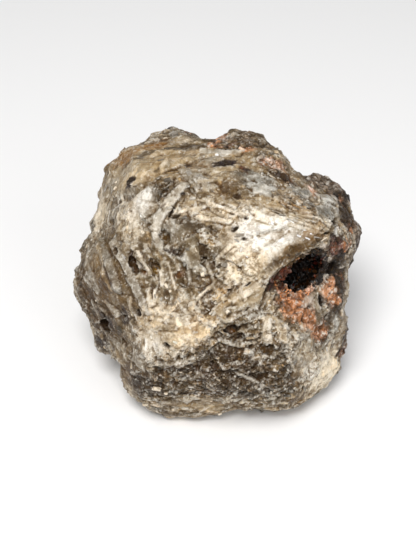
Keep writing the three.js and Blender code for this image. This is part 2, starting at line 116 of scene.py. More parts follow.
def linear(rgb):
    """A colour from 0 to 255 in sRGB, as linear light."""
    c = np.asarray(rgb, float) / 255
    return np.where(c <= 0.04045, c / 12.92, ((c + 0.055) / 1.055) ** 2.4)


COLOUR = {name: linear(rgb) for name, rgb in PALETTE.items()}

# What a paint is multiplied by in linear light: in brown crystals, as painted shade between the rind's knobs,
# and as painted shade with brown staining in hollows.
BROWNED = (0.42, 0.35, 0.24)
SHADOWED = (0.26, 0.2, 0.13)
HOLLOW_SHADE_AND_STAIN = (0.2, 0.16, 0.1)
GROOVE_SHADOW = (0.55, 0.62, 0.75)  # and how much of it the painted shadow in the grooves beside the blades takes away

# What the material turns the paint into: frost, with white flecks that are partly painted glints, or the
# paint seen through clear stone over brown.
FROST_AND_GLINTS = (0.88, 0.83, 0.73)
SEEN_THROUGH = (0.24, 0.17, 0.08)
CLEAR_BROWN = (0.035, 0.022, 0.008)

# ---- Frames of reference ----

SIN, COS = math.sin(ELEVATION * RAD), math.cos(ELEVATION * RAD)
# Rows are U, V and W in the row's frame.
FACE = np.array([[1, 0, 0], [0, SIN, COS], [0, -COS, SIN]])
EYE = np.array([*CAMERA_OFFSET, CAMERA_DISTANCE])


def to_row(points):
    return np.asarray(points) @ FACE + FACE_ORIGIN


def to_face(points):
    return (np.asarray(points) - FACE_ORIGIN) @ FACE.T


def values_of(items, key, width, kind=float):
    """One row of numbers for each of a mesh's points, edges or triangles."""
    values = np.empty(len(items) * width, kind)
    items.foreach_get(key, values)
    return values.reshape(-1, width)


def triangles_of(obj):
    """An object's points, in face coordinates, and its triangles."""
    obj.data.calc_loop_triangles()
    points = to_face(values_of(obj.data.vertices, "co", 3) * 1000)
    return points, values_of(obj.data.loop_triangles, "vertices", 3, int)


def tree_of(points, triangles):
    return BVHTree.FromPolygons([Vector(p) for p in points], triangles.tolist())


lump_points, lump_triangles = triangles_of(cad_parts["celestite_mass"])
lump_tree = tree_of(lump_points, lump_triangles)
VUG_BOX = np.array(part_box("vug_druse")) * 1000  # its two corners, in the row's frame
VUG_AXIS = np.array([0.0, 0.0, 1.0])  # out of its mouth


def on_face(x, y):
    """The place and the outward normal of the solid where the photograph's pixel (x, y) shows it."""
    ray = Vector(((x - PICTURE[0] / 2) / max(PICTURE) * SENSOR / LENS,
                  (PICTURE[1] / 2 - y) / max(PICTURE) * SENSOR / LENS, -1.0)).normalized()
    place, normal, _, _ = lump_tree.ray_cast(Vector(EYE), ray)
    if place is None:
        flat = Vector(EYE) + ray * (CAMERA_DISTANCE / -ray.z)
        place, normal, _, _ = lump_tree.find_nearest(flat)
    return np.array(place), np.array(normal)


# ---- Noise ----

def smooth_noise(points, scale, seed):
    """Smooth noise from -1 to 1 that changes over about `scale` millimetres."""
    q = points / scale + seed * 17.31
    cell = np.floor(q).astype(np.int64)
    t = q - cell
    t = t * t * (3 - 2 * t)
    total = np.zeros(len(q))
    for corner in itertools.product((0, 1), repeat=3):
        c = cell + corner
        h = (c[:, 0] * 73856093) ^ (c[:, 1] * 19349663) ^ (c[:, 2] * 83492791)
        h = ((h ^ (h >> 13)) * 1274126177) & 0xFFFFFFFF
        value = ((h ^ (h >> 16)) & 0xFFFF) / 32767.5 - 1
        total += value * np.prod(np.where(corner, t, 1 - t), axis=1)
    return total


def layered_noise(points, scale, seed, layers=3):
    return sum(smooth_noise(points, scale / 2.1 ** i, seed + i) / 1.8 ** i for i in range(layers))


def wobbled(points, amount):
    """Points shifted by noise, for edges that wander."""
    broad = np.stack([layered_noise(points, 5.0, seed) for seed in (31, 41, 51)], axis=1)
    fine = np.stack([smooth_noise(points, 1.1, seed) for seed in (61, 71, 81)], axis=1)
    return points + amount * (broad + 0.45 * fine)


def rising(low, high, x):
    """From 0 where x is low to 1 where it is high, smoothly."""
    t = np.clip((x - low) / (high - low), 0, 1)
    return t * t * (3 - 2 * t)


def falling(low, high, x):
    """From 1 where x is low to 0 where it is high, smoothly."""
    return 1 - rising(low, high, x)


# ---- What lies where ----

# Stains and growths on the face, each laid over those before it:
# [colour, pixel x, y, half length, half width, turn, strength].
STAINS = [
    # Broad tones; the dark moss, grey and olive down the left flank and along the bottom are partly painted
    # shade.
    ["tan", 215, 165, 95, 30, 0, 0.75], ["sand", 130, 165, 40, 26, 20, 0.7],
    ["ash", 120, 230, 30, 45, 0, 0.7], ["grey", 100, 260, 30, 40, 0, 0.7],
    ["sand", 275, 210, 62, 16, -14, 0.8], ["milk", 162, 302, 38, 32, 0, 0.5],
    ["sand", 240, 300, 45, 40, 0, 0.7], ["grey", 230, 370, 90, 26, 0, 0.7],
    ["olive", 235, 358, 70, 20, 6, 0.6], ["grey", 110, 320, 26, 34, 30, 0.75],
    ["tan", 235, 404, 90, 12, 0, 0.6], ["ash", 310, 345, 34, 30, 0, 0.7],
    ["moss", 94, 296, 20, 56, 15, 0.8], ["grey", 130, 275, 22, 34, 0, 0.6],
    ["grey", 200, 258, 30, 24, 0, 0.6], ["moss", 235, 380, 90, 20, 0, 0.7],
    ["moss", 158, 382, 30, 16, 30, 0.7], ["olive", 186, 284, 14, 12, 0, 0.6],
    # Top left: tan bands between grey lines.
    ["ochre", 120, 155, 26, 5, 24, 0.8], ["ochre", 150, 146, 22, 5, 20, 0.8],
    ["tan", 175, 158, 34, 6, 12, 0.8], ["cream", 130, 176, 22, 6, 10, 0.7],
    ["slate", 135, 157, 24, 1.6, 24, 0.9], ["slate", 182, 147, 26, 1.8, 7, 0.85],
    ["slate", 165, 167, 14, 1.0, 22, 0.7], ["ash", 205, 158, 20, 4, -6, 0.7],
    ["ash", 180, 132, 12, 6, 10, 0.8], ["sand", 176, 138, 10, 4, 15, 0.8],
    ["ochre", 158, 142, 10, 3, 15, 0.7], ["slate", 194, 136, 8, 4, -10, 0.6],
    ["grey", 200, 142, 8, 4, 0, 0.6], ["ash", 112, 184, 12, 8, 0, 0.7],
    # White patches.
    ["white", 142, 204, 9, 17, -28, 0.7], ["white", 150, 191, 6, 6, 0, 0.8],
    ["milk", 132, 208, 9, 10, 0, 0.7], ["milk", 258, 236, 28, 24, 20, 0.95],
    ["white", 270, 232, 30, 15, 0, 0.95], ["white", 296, 234, 26, 9, -4, 0.9],
    ["white", 250, 252, 14, 9, 20, 0.8], ["white", 204, 233, 3, 6, 0, 0.8],
    ["milk", 240, 215, 30, 8, -18, 0.8], ["white", 222, 153, 8, 4, 0, 0.7],
    ["cream", 246, 262, 16, 9, 10, 0.85], ["tan", 240, 268, 11, 7, 0, 0.6],
    # Bands and blades of the left half.
    ["slate", 163, 190, 13, 10, 30, 0.7], ["olive", 166, 186, 9, 6, 0, 0.5],
    ["ash", 172, 198, 20, 5, 50, 0.85], ["ash", 158, 225, 5, 20, 0, 0.85], ["ash", 171, 228, 9, 15, 0, 0.8],
    ["sand", 130, 228, 14, 12, 0, 0.6], ["tan", 148, 238, 8, 8, 0, 0.7], ["grey", 98, 215, 8, 20, 0, 0.6],
    ["tan", 113, 279, 11, 10, 0, 0.8], ["olive", 108, 282, 7, 6, 0, 0.6], ["tan", 98, 262, 6, 16, 10, 0.6],
    ["ash", 130, 275, 6, 32, 24, 0.7], ["ash", 107, 262, 4, 22, 20, 0.7],
    # The grey hollow in the middle and its neighbours.
    ["grey", 206, 254, 22, 22, 0, 0.8], ["slate", 212, 262, 12, 9, 0, 0.5],
    ["slate", 190, 222, 14, 5, -12, 0.7], ["sand", 200, 205, 12, 6, 0, 0.6],
    ["steel", 192, 255, 10, 11, -30, 0.7], ["olive", 215, 238, 14, 4, 30, 0.6],
    ["tan", 214, 290, 12, 12, 0, 0.6], ["brown", 206, 288, 6, 4, 0, 0.5],
    ["ochre", 224, 288, 9, 8, 0, 0.45], ["tan", 205, 180, 20, 8, -20, 0.6],
    ["sand", 224, 174, 16, 5, 4, 0.8], ["olive", 225, 194, 14, 7, 20, 0.7],
    ["brown", 228, 186, 8, 4, 20, 0.5], ["olive", 233, 238, 12, 4, 40, 0.5],
    ["ash", 196, 178, 15, 8, -35, 0.6], ["ochre", 196, 166, 12, 4, 8, 0.5],
    # Upper right: bluish crystals, fibres and the first of the rind.
    ["steel", 258, 180, 24, 10, -12, 0.9], ["slate", 244, 192, 8, 4, -20, 0.6],
    ["ice", 266, 190, 11, 7, -30, 0.9], ["steel", 298, 190, 11, 5, -5, 0.85],
    ["ice", 328, 201, 9, 6, 0, 0.9], ["steel", 327, 214, 11, 8, 0, 0.75],
    ["ochre", 295, 205, 24, 7, -22, 0.25], ["ochre", 318, 227, 10, 4, 0, 0.3],
    ["brown", 287, 178, 12, 5, -25, 0.9], ["rust", 245, 170, 4, 3, 0, 0.9],
    ["brown", 276, 180, 4, 3, 0, 0.8], ["ice", 339, 231, 4, 5, 0, 0.8],
    ["salmon", 275, 164, 13, 5, -18, 0.95], ["orange", 269, 161, 8, 2.5, -18, 0.8],
    ["salmon", 313, 191, 9, 4, -45, 0.95], ["orange", 341, 201, 7, 2.5, -55, 0.9],
    ["orange", 250, 149, 9, 2.6, 0, 0.85], ["orange", 241, 150, 3, 2.5, 0, 0.8],
    ["orange", 219, 139, 9, 4, 20, 0.8], ["orange", 212, 144, 6, 3, 10, 0.7],
    ["rust", 229, 145, 6, 3, 0, 0.6], ["yellow", 324, 190, 3.5, 1.6, 0, 0.8],
    ["olive", 344, 215, 6, 11, 0, 0.8], ["yellow", 348, 210, 2, 6, 0, 0.5],
    # Right: the vug's surroundings.
    # The olive and peat lines under the crest are painted shadow of its overhanging lip.
    ["olive", 296, 252, 30, 5, 24, 0.8], ["peat", 286, 258, 18, 3, 28, 0.6],
    ["ochre", 290, 246, 16, 2, 32, 0.5], ["grey", 310, 246, 14, 5, 20, 0.6],
    ["wine", 336, 246, 11, 10, 0, 0.95], ["orange", 347, 247, 6, 5, 0, 0.9],
    ["chalk", 327, 256, 5, 14, 0, 0.7], ["wine", 312, 270, 18, 16, 40, 0.8],
    ["brown", 335, 268, 13, 8, 0, 0.9], ["orange", 350, 226, 4, 4, 0, 0.85],
    ["wine", 270, 283, 7, 9, 0, 0.9], ["orange", 276, 284, 5, 7, -20, 0.8],
    ["salmon", 304, 301, 11, 8, 20, 0.9], ["orange", 302, 302, 8, 6, 10, 0.8],
    ["chalk", 310, 296, 4, 9, 30, 0.7], ["salmon", 328, 287, 9, 12, 20, 0.8],
    ["chalk", 330, 280, 6, 10, 20, 0.7], ["orange", 291, 309, 16, 10, -28, 0.95],
    ["orange", 310, 320, 14, 9, -50, 0.9], ["salmon", 312, 311, 5, 4, 0, 0.7],
    ["orange", 321, 334, 10, 8, -40, 0.95], ["orange", 336, 300, 8, 5, -10, 0.9],
    ["peat", 338, 312, 6, 7, 0, 0.9], ["olive", 328, 318, 5, 6, 0, 0.7], ["ice", 337, 326, 6, 8, 0, 0.75],
    ["slate", 342, 344, 4, 16, -8, 0.85], ["slate", 278, 306, 5, 4, 30, 0.85],
    ["slate", 288, 320, 8, 2, -30, 0.8], ["salmon", 345, 352, 3, 10, 0, 0.7],
    ["slate", 308, 348, 4, 3, 0, 0.8],
    # Lower half.
    ["cream", 150, 326, 16, 10, 0, 0.8], ["milk", 150, 345, 14, 16, 0, 0.9],
    ["cream", 186, 338, 17, 12, 0, 0.9], ["milk", 180, 340, 10, 9, 0, 0.7],
    ["cream", 205, 325, 10, 12, 0, 0.8], ["ochre", 197, 318, 8, 6, 0, 0.4],
    ["ochre", 190, 330, 12, 1.6, -10, 0.5], ["olive", 158, 332, 8, 2, 30, 0.7],
    ["ash", 176, 356, 12, 6, 0, 0.6], ["ash", 139, 360, 8, 10, 0, 0.8], ["tan", 240, 310, 14, 12, 0, 0.5],
    ["milk", 272, 331, 11, 15, 0, 0.7], ["sand", 258, 322, 14, 10, 0, 0.6],
    ["slate", 252, 306, 12, 8, 0, 0.45], ["brown", 262, 349, 11, 6, -8, 0.8],
    # The brown under the pale block and the peat line below it are painted shadow under ledges.
    ["milk", 256, 358, 14, 3, -20, 0.6], ["brown", 215, 372, 36, 6, 6, 0.7],
    ["slate", 260, 374, 26, 8, 0, 0.55], ["olive", 176, 376, 20, 6, -10, 0.6],
    ["peat", 205, 392, 34, 2.2, 6, 0.7], ["grey", 165, 395, 26, 8, -30, 0.6],
    ["milk", 189, 398, 9, 4, 10, 0.7], ["milk", 229, 401, 9, 5, 0, 0.7], ["sand", 210, 404, 12, 6, 0, 0.6],
    ["brown", 150, 386, 12, 6, -40, 0.6], ["cream", 334, 368, 12, 13, 30, 0.95],
    ["milk", 312, 368, 14, 12, 0, 0.9], ["white", 310, 374, 7, 6, 0, 0.6],
    ["sand", 302, 388, 14, 8, 30, 0.8], ["brown", 298, 397, 9, 5, 30, 0.8],
    ["grey", 270, 401, 14, 5, 0, 0.6], ["ash", 275, 398, 4, 7, 0, 0.7], ["brown", 104, 318, 12, 8, 30, 0.6],
    ["rust", 112, 324, 4, 3, 0, 0.6], ["ash", 122, 300, 12, 12, 40, 0.5],
    ["slate", 90, 290, 8, 16, 20, 0.6], ["olive", 122, 305, 7, 10, 40, 0.6],
    ["peat", 101, 342, 9, 4, -40, 0.6],
    # Small dark marks.
    ["purple", 127, 182, 11, 3.4, 48, 1.0], ["purple", 224, 164, 12, 4.2, 18, 1.0],
    ["purple", 187, 166, 4, 2, -20, 0.8], ["peat", 247, 218, 2.4, 2.2, 0, 1.0],
    ["peat", 234, 229, 4, 2, 40, 1.0], ["peat", 244, 239, 3, 1.6, 10, 1.0],
    ["peat", 160, 206, 5, 1.4, 50, 0.9], ["black", 335, 226, 2.4, 8, -30, 1.0],
    ["peat", 166, 346, 3.6, 2.2, -30, 1.0], ["peat", 175, 253, 9, 3.4, -12, 0.8],
    ["rust", 181, 276, 4, 5, 0, 0.9], ["black", 321, 300, 2.4, 8, -22, 1.0],
]

# Strong marks, in the same way, laid over all that breaks the stone up.
MARKS = [
    # Broad tones again, over the broken skin; the dark moss, peat and olive down the left flank and along the
    # bottom are partly painted shade.
    ["olive", 108, 266, 20, 50, 12, 0.45], ["moss", 90, 298, 14, 28, 12, 0.75],
    ["moss", 110, 324, 18, 16, -10, 0.7], ["grey", 135, 358, 10, 12, 0, 0.6],
    ["ochre", 126, 157, 20, 8, 24, 0.6], ["olive", 124, 160, 18, 5, 24, 0.5],
    ["white", 246, 272, 18, 14, 10, 0.65], ["ivory", 304, 350, 12, 12, -40, 0.6],
    ["moss", 236, 336, 12, 10, 0, 0.5], ["olive", 240, 374, 40, 12, 0, 0.4],
    ["grey", 200, 176, 16, 9, -30, 0.6], ["grey", 206, 256, 20, 16, 0, 0.4],
    ["stone", 100, 214, 9, 22, 0, 0.6], ["bark", 346, 215, 7, 20, 0, 0.5],
    ["peat", 90, 302, 11, 24, 12, 0.45], ["peat", 108, 327, 14, 13, -10, 0.55],
    ["olive", 128, 290, 10, 14, 20, 0.5], ["moss", 140, 379, 24, 15, 30, 0.6],
    ["brown", 235, 370, 42, 18, 0, 0.3], ["salmon", 274, 164, 13, 6, -18, 0.9],
    ["orange", 300, 314, 15, 8, -38, 0.4], ["wine", 335, 247, 9, 8, 0, 0.5],
    ["olive", 346, 215, 6, 14, 0, 0.4], ["milk", 100, 214, 9, 20, 0, 0.8],
    ["milk", 246, 316, 11, 12, 0, 0.4], ["milk", 172, 354, 22, 7, 0, 0.6], ["ash", 300, 195, 14, 8, 0, 0.4],
    ["moss", 137, 300, 7, 28, 12, 0.5], ["ash", 228, 272, 10, 8, 0, 0.4],
    ["olive", 245, 292, 14, 9, 0, 0.35], ["olive", 305, 236, 22, 8, -5, 0.4],
    ["ash", 248, 312, 13, 12, 0, 0.7], ["peat", 206, 360, 8, 16, 20, 0.5],
    ["brown", 225, 350, 14, 6, -30, 0.5], ["milk", 292, 337, 9, 9, 0, 0.6],
    ["ash", 262, 350, 14, 8, 0, 0.6], ["stone", 126, 166, 26, 14, 20, 0.5],
    ["stone", 205, 160, 26, 8, 0, 0.4], ["moss", 86, 296, 11, 26, 12, 0.5],
    ["grey", 150, 262, 40, 24, 0, 0.3], ["brown", 130, 374, 16, 14, 40, 0.6],
    ["sand", 128, 151, 32, 6, 32, 0.6], ["milk", 132, 228, 10, 22, -10, 0.45],
    ["milk", 122, 212, 8, 14, -20, 0.35], ["ash", 116, 290, 8, 12, 30, 0.4],
    ["ash", 91, 250, 6, 18, 10, 0.4],
    # White patches.
    ["white", 142, 206, 8, 15, -28, 0.25], ["white", 150, 192, 5, 5, 0, 0.7],
    ["white", 265, 226, 30, 14, -8, 0.65], ["white", 256, 243, 22, 15, 10, 0.65],
    ["cream", 244, 266, 22, 15, 10, 0.75], ["white", 204, 233, 3, 6, 0, 0.8],
    ["milk", 236, 252, 14, 16, 20, 0.6], ["sand", 262, 280, 10, 10, 0, 0.5],
    ["white", 224, 153, 9, 3.5, 0, 0.7], ["milk", 146, 340, 10, 16, 0, 0.4],
    # The ivory over the lower right corner is partly painted light, keeping bright a face that turns down and
    # away from the lamps.
    ["milk", 182, 343, 12, 9, 20, 0.75], ["ivory", 322, 377, 34, 23, -35, 0.95],
    ["white", 310, 372, 12, 8, 0, 0.6], ["milk", 189, 399, 8, 4, 10, 0.8], ["milk", 229, 401, 9, 4, 0, 0.8],
    ["milk", 272, 330, 9, 14, 0, 0.25], ["white", 337, 231, 4, 4, 0, 0.8], ["ice", 328, 201, 9, 5, 0, 0.7],
    # Dark places.
    ["slate", 162, 190, 11, 7, 35, 0.7], ["olive", 167, 186, 7, 4, 30, 0.6],
    ["slate", 208, 258, 11, 8, 0, 0.6], ["slate", 190, 222, 14, 4, -12, 0.7],
    ["brown", 206, 289, 6, 4, 0, 0.6], ["olive", 122, 300, 5, 12, 35, 0.7],
    ["peat", 101, 340, 9, 5, -40, 0.7], ["olive", 96, 285, 6, 16, 15, 0.6],
    ["olive", 232, 193, 10, 6, 20, 0.7], ["peat", 236, 196, 3, 5, 60, 0.7],
    # The peat and brown lines along the bottom are painted shadow under ledges.
    ["peat", 214, 389, 26, 1.8, 6, 0.7], ["brown", 196, 372, 16, 3, 20, 0.6],
    ["peat", 240, 376, 22, 2.5, -8, 0.6], ["olive", 262, 352, 12, 5, -8, 0.6],
    ["purple", 127, 182, 10, 3.2, 48, 1.0], ["purple", 224, 164, 12, 4.0, 18, 1.0],
    ["purple", 187, 166, 4, 2, -20, 0.8], ["slate", 137, 158, 24, 1.4, 24, 0.8],
    ["slate", 182, 147, 26, 1.6, 7, 0.8], ["peat", 246, 170, 3.5, 3, 0, 0.8],
    # The olive line under the crest is painted shadow of its overhanging lip.
    ["brown", 286, 179, 12, 4, -25, 0.8], ["olive", 300, 249, 28, 6, 30, 0.8],
    ["ochre", 312, 234, 16, 5, -5, 0.5], ["peat", 345, 215, 6, 16, 0, 0.6],
    ["peat", 334, 268, 13, 8, 5, 0.8], ["bark", 345, 260, 8, 12, 20, 0.7],
    ["moss", 122, 266, 4.5, 14, 25, 0.7], ["moss", 141, 292, 4, 12, 25, 0.7],
    ["moss", 107, 276, 5, 14, 15, 0.6], ["moss", 131, 308, 6, 5, 0, 0.7],
    ["moss", 112, 322, 12, 7, -10, 0.7], ["olive", 186, 285, 12, 7, 10, 0.6],
    ["olive", 294, 322, 10, 5, -30, 0.6], ["moss", 108, 232, 5, 8, 0, 0.6],
    ["peat", 108, 324, 13, 11, -10, 0.6], ["moss", 92, 305, 10, 20, 20, 0.5],
    ["brown", 107, 281, 8, 12, 10, 0.55], ["peat", 100, 345, 12, 6, -45, 0.8],
    ["ash", 89, 281, 5, 9, 0, 0.5], ["moss", 126, 312, 7, 10, 30, 0.6],
    ["olive", 190, 195, 18, 14, 0, 0.35], ["grey", 165, 285, 44, 20, 0, 0.35],
    ["moss", 122, 332, 8, 16, 0, 0.5], ["peat", 142, 385, 26, 14, 30, 0.75],
    ["ochre", 124, 159, 24, 7, 26, 0.45], ["stone", 150, 340, 15, 14, 0, 0.4],
    ["ash", 140, 206, 8, 13, -28, 0.3], ["peat", 125, 316, 4.5, 12, 8, 0.85],
    ["brown", 110, 281, 9, 9, 0, 0.6], ["peat", 99, 342, 4, 9, 20, 0.7], ["peat", 107, 322, 9, 7, -20, 0.6],
    ["olive", 176, 249, 11, 4.5, -18, 0.85], ["brown", 208, 300, 9, 9, 0, 0.5],
    ["slate", 196, 259, 6, 5, 0, 0.7], ["olive", 168, 328, 14, 1.8, 5, 0.8],
    # Smaller tones, all over the face; the moss and olive at the lower left are partly painted shade.
    ["ash", 138, 360, 9, 9, 0, 0.6], ["cream", 176, 341, 13, 9, 0, 0.4],
    ["white", 274, 164, 9, 4, -18, 0.3], ["slate", 255, 183, 11, 6, -20, 0.3],
    ["olive", 300, 348, 6, 4, 0, 0.4], ["cream", 174, 343, 12, 8, 0, 0.4],
    ["white", 154, 350, 9, 10, 0, 0.5], ["tan", 186, 330, 8, 4, -20, 0.5],
    ["moss", 135, 358, 12, 14, 0, 0.45], ["olive", 120, 368, 26, 26, 0, 0.45],
    ["stone", 180, 379, 14, 10, 0, 0.3], ["cream", 300, 351, 12, 10, 0, 0.2],
    ["ice", 329, 208, 10, 12, 0, 0.35], ["steel", 258, 186, 12, 10, -10, 0.35],
    ["ash", 90, 232, 14, 24, 10, 0.35], ["orange", 313, 191, 5, 4, -45, 0.5],
    ["ochre", 125, 158, 14, 6, -20, 0.6], ["olive", 198, 177, 10, 9, 0, 0.2],
    ["olive", 112, 258, 26, 18, 60, 0.25], ["salmon", 222, 139, 6, 4, -40, 0.7],
    ["white", 140, 205, 9, 9, 0, 0.15], ["orange", 335, 247, 7, 6, 0, 0.25],
    ["sand", 262, 336, 22, 9, 0, 0.35], ["ash", 246, 314, 11, 9, 0, 0.6], ["ash", 270, 352, 9, 4, -10, 0.6],
    ["milk", 291, 338, 8, 8, 0, 0.5], ["milk", 229, 398, 8, 4, 0, 0.8], ["ash", 276, 400, 5, 6, 0, 0.7],
    ["ash", 305, 362, 8, 10, 0, 0.5], ["ivory", 246, 272, 15, 12, 10, 0.5],
    ["chalk", 326, 186, 14, 6, -30, 0.4], ["chalk", 245, 140, 24, 6, 0, 0.35],
    ["salmon", 274, 164, 12, 5, -18, 0.8],
    # The right edge, the vug's surroundings and the bluish crystals.
    ["ice", 264, 190, 14, 5, -28, 0.35], ["ice", 300, 191, 10, 5, -8, 0.7], ["ice", 329, 202, 9, 6, 0, 0.9],
    ["steel", 326, 215, 11, 6, 0, 0.8], ["chalk", 322, 247, 3, 8, 0, 0.7],
    ["chalk", 326, 262, 3, 12, -8, 0.7], ["orange", 347, 245, 7, 6, 0, 0.9],
    ["orange", 329, 289, 8, 10, 20, 0.75], ["orange", 319, 331, 10, 9, -45, 0.7],
    ["orange", 310, 319, 9, 7, -50, 0.6], ["orange", 337, 299, 6, 5, 0, 0.7],
    ["wine", 334, 247, 8, 7, 0, 0.5], ["orange", 335, 247, 6, 6, 0, 0.2],
    ["black", 334, 268, 12, 7, 5, 0.85], ["rust", 347, 245, 5, 4, 0, 0.35],
    ["peat", 352, 258, 4, 10, 0, 0.6], ["ice", 337, 321, 6, 9, 0, 0.85],
    ["peat", 329, 317, 2.5, 7, 10, 0.7], ["slate", 346, 336, 2.5, 20, -6, 0.8],
    ["rust", 348, 352, 3, 8, 0, 0.6],
]

# How finely the stone is broken up, from 0 smooth and milky to 1 all small grains:
# [share, pixel x, y, half length, half width, turn].
GRIT = [
    [0.4, 125, 240, 54, 70, 0], [0.12, 100, 285, 22, 50, 15], [0.05, 150, 160, 60, 26, 20],
    [0.25, 215, 165, 40, 20, 0], [0.75, 163, 190, 16, 12, 0], [0.7, 206, 255, 26, 24, 0],
    [0.15, 270, 235, 50, 22, 10], [0.15, 142, 204, 12, 18, -28], [0.35, 250, 190, 40, 14, -15],
    [0.55, 190, 290, 40, 18, 0], [0.12, 172, 342, 34, 22, 0], [1.0, 240, 372, 90, 34, 0],
    [0.9, 255, 335, 40, 24, 0], [0.9, 170, 385, 40, 18, 30], [0.1, 328, 372, 24, 24, 30],
    [0.35, 300, 360, 14, 18, 0], [0.3, 110, 322, 26, 30, 30], [0.2, 200, 404, 30, 7, 0],
    [0.12, 96, 190, 16, 50, 10], [0.25, 126, 374, 11, 34, 14],
]

# How the crystals lie: [pixel x, y, reach, heading, spread, length, width, density].
FLOWS = [
    [120, 265, 34, -63, 14, 11, 2.0, 1.0], [100, 225, 24, -75, 20, 8, 1.8, 1.0],
    [140, 160, 34, 24, 10, 9, 1.6, 1.0], [190, 148, 26, 8, 12, 8, 1.8, 0.8],
    [142, 202, 16, 58, 25, 3.5, 1.0, 1.4], [172, 200, 16, 50, 14, 8, 2.0, 1.0],
    [158, 232, 14, -85, 20, 7, 2.0, 1.0], [205, 175, 26, -28, 30, 7, 2.2, 1.0],
    [245, 190, 26, -18, 30, 6, 2.0, 1.0], [285, 215, 40, -19, 6, 11, 0.9, 1.8],
    [225, 212, 26, -20, 10, 9, 1.1, 1.4], [270, 238, 34, -10, 50, 2.6, 0.9, 1.7],
    [205, 255, 24, -25, 60, 5, 2.0, 1.0], [150, 298, 18, 88, 16, 6, 1.0, 1.3],
    [240, 295, 30, 38, 16, 7, 1.6, 1.1], [190, 300, 20, 0, 90, 3.5, 1.3, 1.3],
    [165, 345, 34, 0, 80, 4, 1.6, 0.7], [272, 330, 16, 86, 12, 7, 1.2, 1.3],
    [230, 370, 50, -4, 40, 3.2, 1.2, 1.5], [220, 402, 60, 2, 20, 6, 2.2, 0.9],
    [110, 325, 26, -48, 24, 7, 2.4, 0.8], [310, 365, 24, -72, 24, 5, 0.9, 1.4],
    [335, 370, 14, -60, 20, 5, 2.6, 0.8],
]

# And where none of these reaches: spread, length, width and density.
LOOSE = [40, 5.5, 2.0, 0.9]
LEAST_PULL = 0.12  # below it a growth no longer leads the crystals

